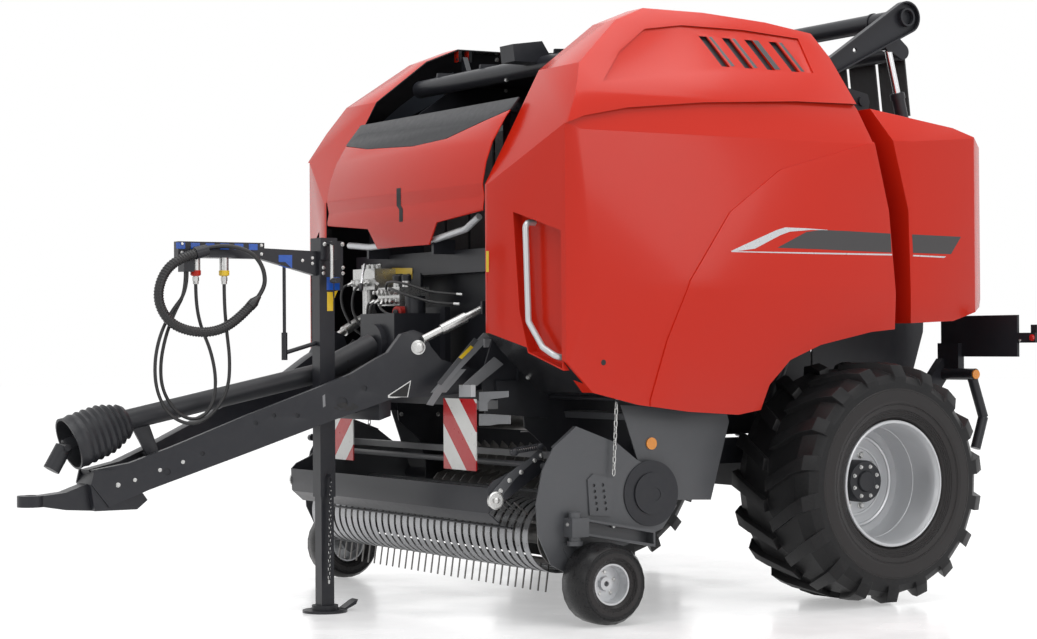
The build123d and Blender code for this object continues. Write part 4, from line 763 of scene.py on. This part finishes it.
sleeve = cord_piece("sleeve", ROUTES["hose_sleeve"], 0.042)
pipe = cord_piece("pipe", ROUTES["hose_pipe"], 0.020)
hose_a = cord_piece("hose_front", ROUTES["hose_a"], 0.016)
hose_b = cord_piece("hose_rear", ROUTES["hose_b"], 0.016)

WINDING_RADIUS = 0.0200
WINDING_PITCH = 0.013
WINDING_BAR = 0.0036
ridge_mesh = bmesh.new()
tube(ridge_mesh, wound(line_of(sleeve), WINDING_RADIUS, WINDING_PITCH, 12), WINDING_BAR, 6)
ridge = piece_of(ridge_mesh, "sleeve_winding", "hose", 60.0)
collar_mesh = bmesh.new()
collar_at, collar_to = [at(*place) for place in ROUTES["hose_pipe"][:2]]
lathe(collar_mesh, collar_at, collar_to - collar_at, (
    (0.0235, -0.016), (0.0235, 0.012), (0.019, 0.022), (0.0115, 0.045), (0.0110, 0.050)), 28)
collar = piece_of(collar_mesh, "sleeve_collar", "hose", 60.0)
for piece, node_names in ((sleeve, ("hose_sleeve",)), (pipe, ("hose_pipe",)), (hose_a, ("hose_a",)),
                          (hose_b, ("hose_b",))):
    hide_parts(*node_names)
for piece in (sleeve, pipe, hose_a, hose_b, ridge, collar):
    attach(piece, "frame")

# Blank plates where the photograph has signs
PLATES = (  # node, body, finish, then left, top, right and bottom in pixels
    ("side_cover_left", "cover_left", "yellow", 481.5, 251, 489, 272),
    ("jack_sleeve", "frame", "blue", 326.5, 277, 339.5, 290),
    ("jack_sleeve", "frame", "yellow", 327, 292, 338, 311),
    ("hose_holder", "frame", "blue", 278.5, 255, 292, 268),
    ("front_frame", "frame", "yellow", 392.5, 268, 412.5, 279.5),
)
for name, body, tree_name, left, top, far, low in PLATES:
    film(name, body, tree_name, [(left, top), (far, top)], [(left, low), (far, low)], 2, 2, 0.0012)

# Bolt heads where the photograph shows them
BOLTS = (  # pixel, size of the thread in millimetres
    (324.6, 244.2, 9), (342.5, 244.4, 9), (323.5, 267.7, 8), (323.5, 273.3, 8), (343, 267.7, 8),
    (343, 273.3, 8), (302.5, 260.5, 7), (312.5, 257.9, 7), (312.5, 263.4, 7), (401.2, 414.1, 10),
    (437.9, 414.1, 10), (528, 377.4, 10), (613.4, 526.2, 10), (118, 485, 10), (135, 480, 8),
    (160, 470, 8), (183, 462, 8), (496.7, 59.8, 11), (506.5, 80.1, 10), (505.6, 90.5, 10),
    (567.6, 524.7, 9), (1020, 340.5, 7),
)
for px, py, size in BOLTS:
    point, normal, body = spot(px, py)
    bolt(body, point, normal, size / 1000)
point, normal, body = spot(418.1, 347.4)
lathe(group(body, "zinc"), point, normal, (
    (0.034, -0.004), (0.034, 0.004), (0.026, 0.005), (0.026, 0.011), (0.023, 0.013), (0.010, 0.0135)), 32)

# Windows in the drawbar's side plate, their openings painted near black as shade, and dark inserts that
# widen the covers' vents
WINDOWS = (  # finish, upper line, lower line, rows, columns, lift in metres
    ("zinc", [(388, 395.2), (411, 380.2)], [(388, 397.8), (408, 398.2)], 2, 3, 0.0006),
    ("black_gap", [(390, 395.2), (410, 382)], [(390, 396.6), (407, 396.8)], 2, 3, 0.0012),
    ("black_gap", [(334, 407), (340, 402.6), (352, 402.6), (358.5, 406)],
     [(334, 408), (340, 411), (352, 410.6), (358.5, 408)], 2, 6, 0.0008),
    ("pale", [(322.5, 396), (325, 394)], [(323, 407.5), (325.5, 406)], 3, 1, 0.0008),
)
for row in WINDOWS:
    film("drawbar", "frame", *row)
VENT_WIDTH = 5.5
VENTS = (  # left edges: upper and lower pixel
    (706.0, 36.8, 729.4, 66.2), (729.4, 38.6, 752.4, 68.0), (752.4, 40.4, 775.0, 69.6),
    (776.1, 42.6, 799.1, 71.6),
)
for top_x, top_y, low_x, low_y in VENTS:
    film("side_cover_left", "cover_left", "film_dark", [(top_x, top_y), (top_x + VENT_WIDTH, top_y + 0.2)],
         [(low_x, low_y), (low_x + VENT_WIDTH, low_y + 0.2)], 5, 2, 0.0008, "cover_right")

# A thin dark rod across the fronts of the stripper bands
ROD_HALF = 0.93
left_end, right_end = spot(365, 511.5)[0], spot(528, 528.5)[0]
rod_x, rod_z = (left_end.x + right_end.x) / 2 + 0.004, (left_end.z + right_end.z) / 2
tube(group("pickup", "dark"), [Vector((rod_x, -ROD_HALF, rod_z)), Vector((rod_x, ROD_HALF, rod_z))], 0.0055)

# Slots of the hood's latch and the cover's hole, painted near black as the shade in them, and the pane
# inside the far cover
LATCH_SLOTS = (  # upper line, lower line, rows
    ([(396.6, 188.5), (401, 188)], [(396.8, 206.5), (401, 206)], 6),
    ([(397, 206), (401, 205.6)], [(399.3, 209.5), (403, 209)], 2),
    ([(399.3, 209), (403, 208.6)], [(399.3, 222), (403, 221.5)], 6),
)
for upper, lower, rows in LATCH_SLOTS:
    film("front_hood", "hood", "black_gap", upper, lower, rows, 2, 0.0012)
point, normal = pixel_hit("side_cover_left", 603.5, 362.5)
lathe(group("cover_left", "black_gap"), point, normal, (
    (0.013, -0.002), (0.013, 0.0008), (0.010, 0.0010)), 24)
film("side_cover_right", "cover_right", "pane", [(379, 124.4), (400, 106), (429.4, 84.2), (453.2, 71.8)],
     [(380.5, 125), (404.5, 119.5), (441.8, 98.8), (453.4, 73)], 3, 12, 0.002)

# Painted shade: a near-black sheet behind the pickup's reel, standing for the shade seen between the bands
strap(group("pickup", "black_gap"), [(1431, 250), (1434, 250), (1434, 548), (1431, 548)], -1100, 1100)

# Adjusting arms, springs and roller ends of the wind guard
ARM_PIXELS = ((489, 500), (500, 503), (504, 493), (514, 480), (524, 470), (533, 462), (543, 458),
              (542, 450), (536, 452), (529, 459), (518, 466), (508, 474), (499, 484), (491, 493))
ARM_BOLTS = ((541.0, 455.5), (534.5, 460.5), (521.1, 472.3), (509.5, 480.5), (500.5, 491.0))
SPRING_ENDS = ((514, 451), (537, 447))
SPRING_BOSSES = ((513, 452), (538.5, 446.5))
ARM_IN = 988.0
ARM_OUT = 994.0
SPRING_Y = 1004
ROLLER_END = ((0.040, 0.0), (0.040, 0.012), (0.034, 0.014), (0.033, 0.010), (0.014, 0.010),
              (0.014, 0.020), (0.010, 0.022))
for side in SIDES:
    out = (0, side, 0)
    outline = [seen(px, py, 991) for px, py in ARM_PIXELS]
    # The arms take the grey finish, lighter than their dark gloss: a painted highlight for their lit edges
    strap(group("guard", "grey"), outline, side * ARM_IN, side * ARM_OUT)
    for px, py in ARM_BOLTS:
        bolt("guard", seen_point(px, py, ARM_OUT, side * ARM_OUT), out, 0.010)
    lathe(group("guard", "zinc"), seen_point(495.7, 500.6, ARM_OUT, side * 986), out, ROLLER_END, 36)
    start, end = [seen_point(px, py, SPRING_Y, side * SPRING_Y) for px, py in SPRING_ENDS]
    tube(group("guard", "dark"), helix(start, end, 0.013, 11, 12), 0.0028, 6)
    tube(group("guard", "zinc"), [start - (end - start) * 0.12, end + (end - start) * 0.1], 0.005)
    for px, py in SPRING_BOSSES:
        lathe(group("guard", "dark"), seen_point(px, py, 996, side * 990), out, (
            (0.016, 0.0), (0.016, 0.026), (0.012, 0.028)), 20)

# Brackets and lamp housings beside the warning boards, a bar with a yellow plate on the drive's guard
board_face = spot(462, 430)[0].x
BRACKETS = (  # finish, outline in pixels, place of the front face, thickness
    ("pale", ((479, 392), (508, 391), (508, 397), (490, 399.5), (487, 404), (487, 411), (479, 411)),
     board_face - 0.004, 0.004),
    ("pale", ((479, 414), (488, 414), (510, 415.5), (510, 424), (498, 424), (490, 425.5), (479, 425.5)),
     board_face, 0.004),
    ("silver", ((459, 385), (471, 385), (471, 397), (459, 397)), board_face, 0.024),
)
for tree_name, pixels, face, depth in BRACKETS:
    panel(body_names["warning_boards"], tree_name, pixels, face, depth)
BARS = (  # finish, outline in pixels, lift from the guard in millimetres
    ("grey", ((437, 383), (474, 338), (478, 340), (441, 385)), 0.0),
    ("yellow", ((458.5, 357.5), (470.5, 345.5), (473, 347.5), (461.5, 359)), 4.5),
)
BAR_THICK = 4.0
guard_y = abs(pixel_hit("drive_guards", 447, 380)[0].y) * 1000
for tree_name, pixels, lift in BARS:
    y = guard_y + lift
    outline = [seen(px, py, y) for px, py in pixels]
    for side in SIDES:
        strap(group(body_names["drive_guards"], tree_name), outline, side * y, side * (y + BAR_THICK))

# Chains with round links. The pickup's stand for their node
JACK_X = 2353
chain_mesh = bmesh.new()
for side in SIDES:
    link_chain(chain_mesh, at(1420, side * 1171, 987), at(1440, side * 1171, 640), 1.0)
chains = piece_of(chain_mesh, "round_link_chains", "zinc", 60.0)
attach(chains, "frame")
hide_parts("pickup_chains")
frame_zinc = group("frame", "zinc")
link_chain(frame_zinc, at(JACK_X, 175, 634), at(JACK_X + 13, 175, 140), 0.72)

# Crank of the jack, coloured caps of the couplings and the holder's blank plates
tube(frame_zinc, [at(JACK_X, 196, 1548), at(JACK_X, 196, 1722)], 0.0092, 14)
tube(group("frame", "plastic"), [at(JACK_X, 205, 1550), at(JACK_X, 258, 1550)], 0.0125, 14)
for x, y, cap in ((3020, 150, "red"), (2890, 172, "yellow")):
    turned("frame", cap, (x, y, 1592), (0, 0, -1), (
        (0.024, 0.0), (0.024, 0.020), (0.020, 0.024), (0.0145, 0.026)), 24)
    turned("frame", "zinc", (x, y, 1562), (0, 0, -1), ((0.0155, 0.0), (0.0155, 0.016), (0.0140, 0.018)), 6)
PLATE_LEFT = 2700
PLATE_STEP = 72
PLATE_WIDE = 44
for index in range(6):
    x = PLATE_LEFT + PLATE_STEP * index
    outline = [(x, 1690), (x + PLATE_WIDE, 1690), (x + PLATE_WIDE, 1718), (x, 1718)]
    strap(group("frame", "blue"), outline, 125.0, 126.4)
for x in (2680, 3075):
    for z in (1672, 1712):
        bolt("frame", at(x, 125, z), (0, 1, 0), 0.007)

# Valves: fittings, lever, filter and the pipes that run down from them
FORWARD = (1, 0, 0)
UPWARD = (0, 0, 1)
for y in (-170, -128, -86, -44, -4):
    for z in (1462, 1505):
        turned("frame", "zinc", (1899, y, z), FORWARD, ((0.016, 0.0), (0.016, 0.014), (0.0145, 0.016)), 6)
        turned("frame", "zinc", (1912, y, z), FORWARD, ((0.010, 0.0), (0.010, 0.026), (0.0085, 0.028)), 14)
for y in (-120, -30):
    turned("frame", "dark", (1830, y, 1560), UPWARD, ((0.024, 0.0), (0.024, 0.026), (0.018, 0.032)), 24)
for y in (-520, -470, -420, -370):
    turned("frame", "zinc", (1849, y, 1560), FORWARD, ((0.019, 0.0), (0.019, 0.020), (0.016, 0.024)), 6)
    turned("frame", "zinc", (1800, y, 1629), UPWARD, ((0.015, 0.0), (0.015, 0.022), (0.012, 0.025)), 6)
lever = [at(1862, -400, 1650), at(1900, -352, 1600), at(1935, -300, 1545)]
tube(group("frame", "chrome"), lever, 0.008, 12)
lathe(group("frame", "plastic"), lever[2], lever[2] - lever[1], (
    (0.011, -0.004), (0.012, 0.03), (0.008, 0.040)), 16)
FILTER_AT = (1935, 60, 1405)
FILTER_AXIS = (0.9, 0.3, 0)
turned("frame", "red_matt", FILTER_AT, FILTER_AXIS, (
    (0.030, -0.05), (0.030, 0.0), (0.026, 0.004), (0.014, 0.0045)), 28)
turned("frame", "plastic", FILTER_AT, FILTER_AXIS, ((0.015, 0.0045), (0.015, 0.0125), (0.011, 0.0155)), 24)
PIPES = (  # diameter and points in millimetres
    (13, ((1935, -170, 1462), (1965, -176, 1440), (1960, -180, 1360),
          (1900, -190, 1290), (1800, -200, 1270))),
    (13, ((1935, -128, 1462), (1972, -134, 1435), (1968, -140, 1350),
          (1905, -160, 1275), (1800, -170, 1250))),
    (12, ((1935, -86, 1462), (1960, -60, 1430), (1962, 20, 1400),
          (1950, 90, 1395), (1880, 130, 1390))),
    (13, ((1935, -4, 1505), (1970, 60, 1520), (1960, 180, 1490),
          (1880, 320, 1450), (1800, 420, 1440))),
    (12, ((1935, -44, 1505), (1965, 30, 1550), (1950, 170, 1540),
          (1880, 300, 1500), (1790, 430, 1485))),
    (13, ((1873, -520, 1560), (1920, -530, 1530), (1925, -520, 1440),
          (1880, -480, 1330), (1800, -430, 1270))),
    (13, ((1873, -370, 1560), (1930, -380, 1520), (1940, -380, 1420),
          (1900, -340, 1330), (1820, -300, 1280))),
)
for diameter, points in PIPES:
    line = smoothed([at(*point) for point in points])
    tube(group("frame", "hose"), line, diameter / 2000, 12)
    for end, beside in ((line[0], line[1]), (line[-1], line[-2])):
        lathe(frame_zinc, end, beside - end, (
            (diameter / 1700, -0.004), (diameter / 1700, 0.020), (diameter / 1900, 0.026)), 14)

# Rear lamps: lenses on the boards, and markers at the ends of their arms
LENSES = ((1040, "lamp_red", 0.050), (1160, "amber", 0.042), (1255, "lamp_red", 0.034))  # Y, finish, radius
BACKWARD = (-1, 0, 0)
lamp_body = body_names["lamp_boards"]
for side in SIDES:
    for y, lens, radius in LENSES:
        place = (-940, side * y, 1275)
        turned(lamp_body, "plastic", place, BACKWARD, (
            (radius + 0.008, 0.0), (radius + 0.008, 0.006), (radius, 0.008)), 36)
        turned(lamp_body, lens, place, BACKWARD, (
            (radius, 0.004), (radius * 0.94, 0.012), (radius * 0.6, 0.016), (radius * 0.3, 0.017)), 36)
    turned(lamp_body, "lamp_red", (-925, side * 1405, 1265), FORWARD, (
        (0.017, 0.0), (0.016, 0.006), (0.010, 0.009)), 24)

# Small holes in the jack's tube: near-black discs of painted shade
for px, py in ((350.2, 318.4), (350.2, 323.2), (348.2, 361), (348.2, 369), (348.2, 377)):
    point, normal, body = spot(px, py)
    lathe(group(body, "black_gap"), point, normal, ((0.006, -0.001), (0.006, 0.0008), (0.005, 0.0010)), 16)

for (body, tree_name), solid in groups.items():
    piece = piece_of(solid, f"{tree_name}_on_{body}", tree_name)
    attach(piece, body)

# Floor: white to the camera and in reflections
FLOOR_GLOW = 0.34
FLOOR_DROP = 0.0005
WHITE = (1.0, 1.0, 1.0, 1.0)
floor_tree = finish("floor", (0.93, 0.93, 0.935), 0.22, vary=0.004, patch=0.2, grain=20, bump=0.0, dust=0.0)
floor_mesh = bmesh.new()
bmesh.ops.create_circle(floor_mesh, cap_ends=True, segments=96, radius=60.0)
floor_data = bpy.data.meshes.new("floor")
floor_mesh.to_mesh(floor_data)
floor_mesh.free()
floor_sight = floor_tree.nodes.new("ShaderNodeLightPath").outputs
floor_seen = floor_tree.math("MAXIMUM", floor_sight["Is Camera Ray"], floor_sight["Is Glossy Ray"])
floor_glow = floor_tree.math("MULTIPLY", floor_seen, FLOOR_GLOW)
floor_tree.put(floor_tree.shader.inputs["Emission Strength"], floor_glow)
floor_tree.shader.inputs["Emission Color"].default_value = WHITE
floor_data.materials.append(floor_tree.material)
floor = bpy.data.objects.new("floor", floor_data)
floor.location.z = -FLOOR_DROP
bpy.context.collection.objects.link(floor)

# Sky: white where it is seen, weaker where it lights the surfaces
AMBIENT = 0.52
world = bpy.data.worlds.new("studio")
world.use_nodes = True
sky = world.node_tree
sight = sky.nodes.new("ShaderNodeLightPath")
seen_directly = sight.outputs["Is Camera Ray"]
for kind in ("Is Glossy Ray", "Is Transmission Ray"):
    either = sky.nodes.new("ShaderNodeMath")
    either.operation = "MAXIMUM"
    sky.links.new(seen_directly, either.inputs[0])
    sky.links.new(sight.outputs[kind], either.inputs[1])
    seen_directly = either.outputs[0]
strength = sky.nodes.new("ShaderNodeMapRange")
strength.inputs["To Min"].default_value = AMBIENT
strength.inputs["To Max"].default_value = 1.0
sky.links.new(seen_directly, strength.inputs["Value"])
sky.links.new(strength.outputs["Result"], sky.nodes["Background"].inputs["Strength"])
sky.nodes["Background"].inputs["Color"].default_value = WHITE
bpy.context.scene.world = world

LIGHTS = (  # name, place, aim, width, height, watts
    ("above", (0.0, 1.0, 6.5), (0.0, 0.0, 1.0), 7.0, 5.0, 220.0),
    ("side", (-1.5, 8.5, 4.2), (-0.5, 0.0, 1.2), 6.0, 3.0, 125.0),
    ("front", (7.5, 2.5, 3.2), (1.5, 0.0, 1.0), 3.0, 3.0, 40.0),
    ("back", (-6.5, -4.5, 4.5), (0.0, 0.0, 1.5), 4.0, 3.0, 40.0),
)
for name, place, aim, width, height, watts in LIGHTS:
    light_data = bpy.data.lights.new(name, "AREA")
    light_data.shape = "RECTANGLE"
    light_data.size = width
    light_data.size_y = height
    light_data.energy = watts
    light = bpy.data.objects.new(name, light_data)
    light.location = place
    light.rotation_euler = (Vector(aim) - Vector(place)).to_track_quat("-Z", "Y").to_euler()
    bpy.context.collection.objects.link(light)
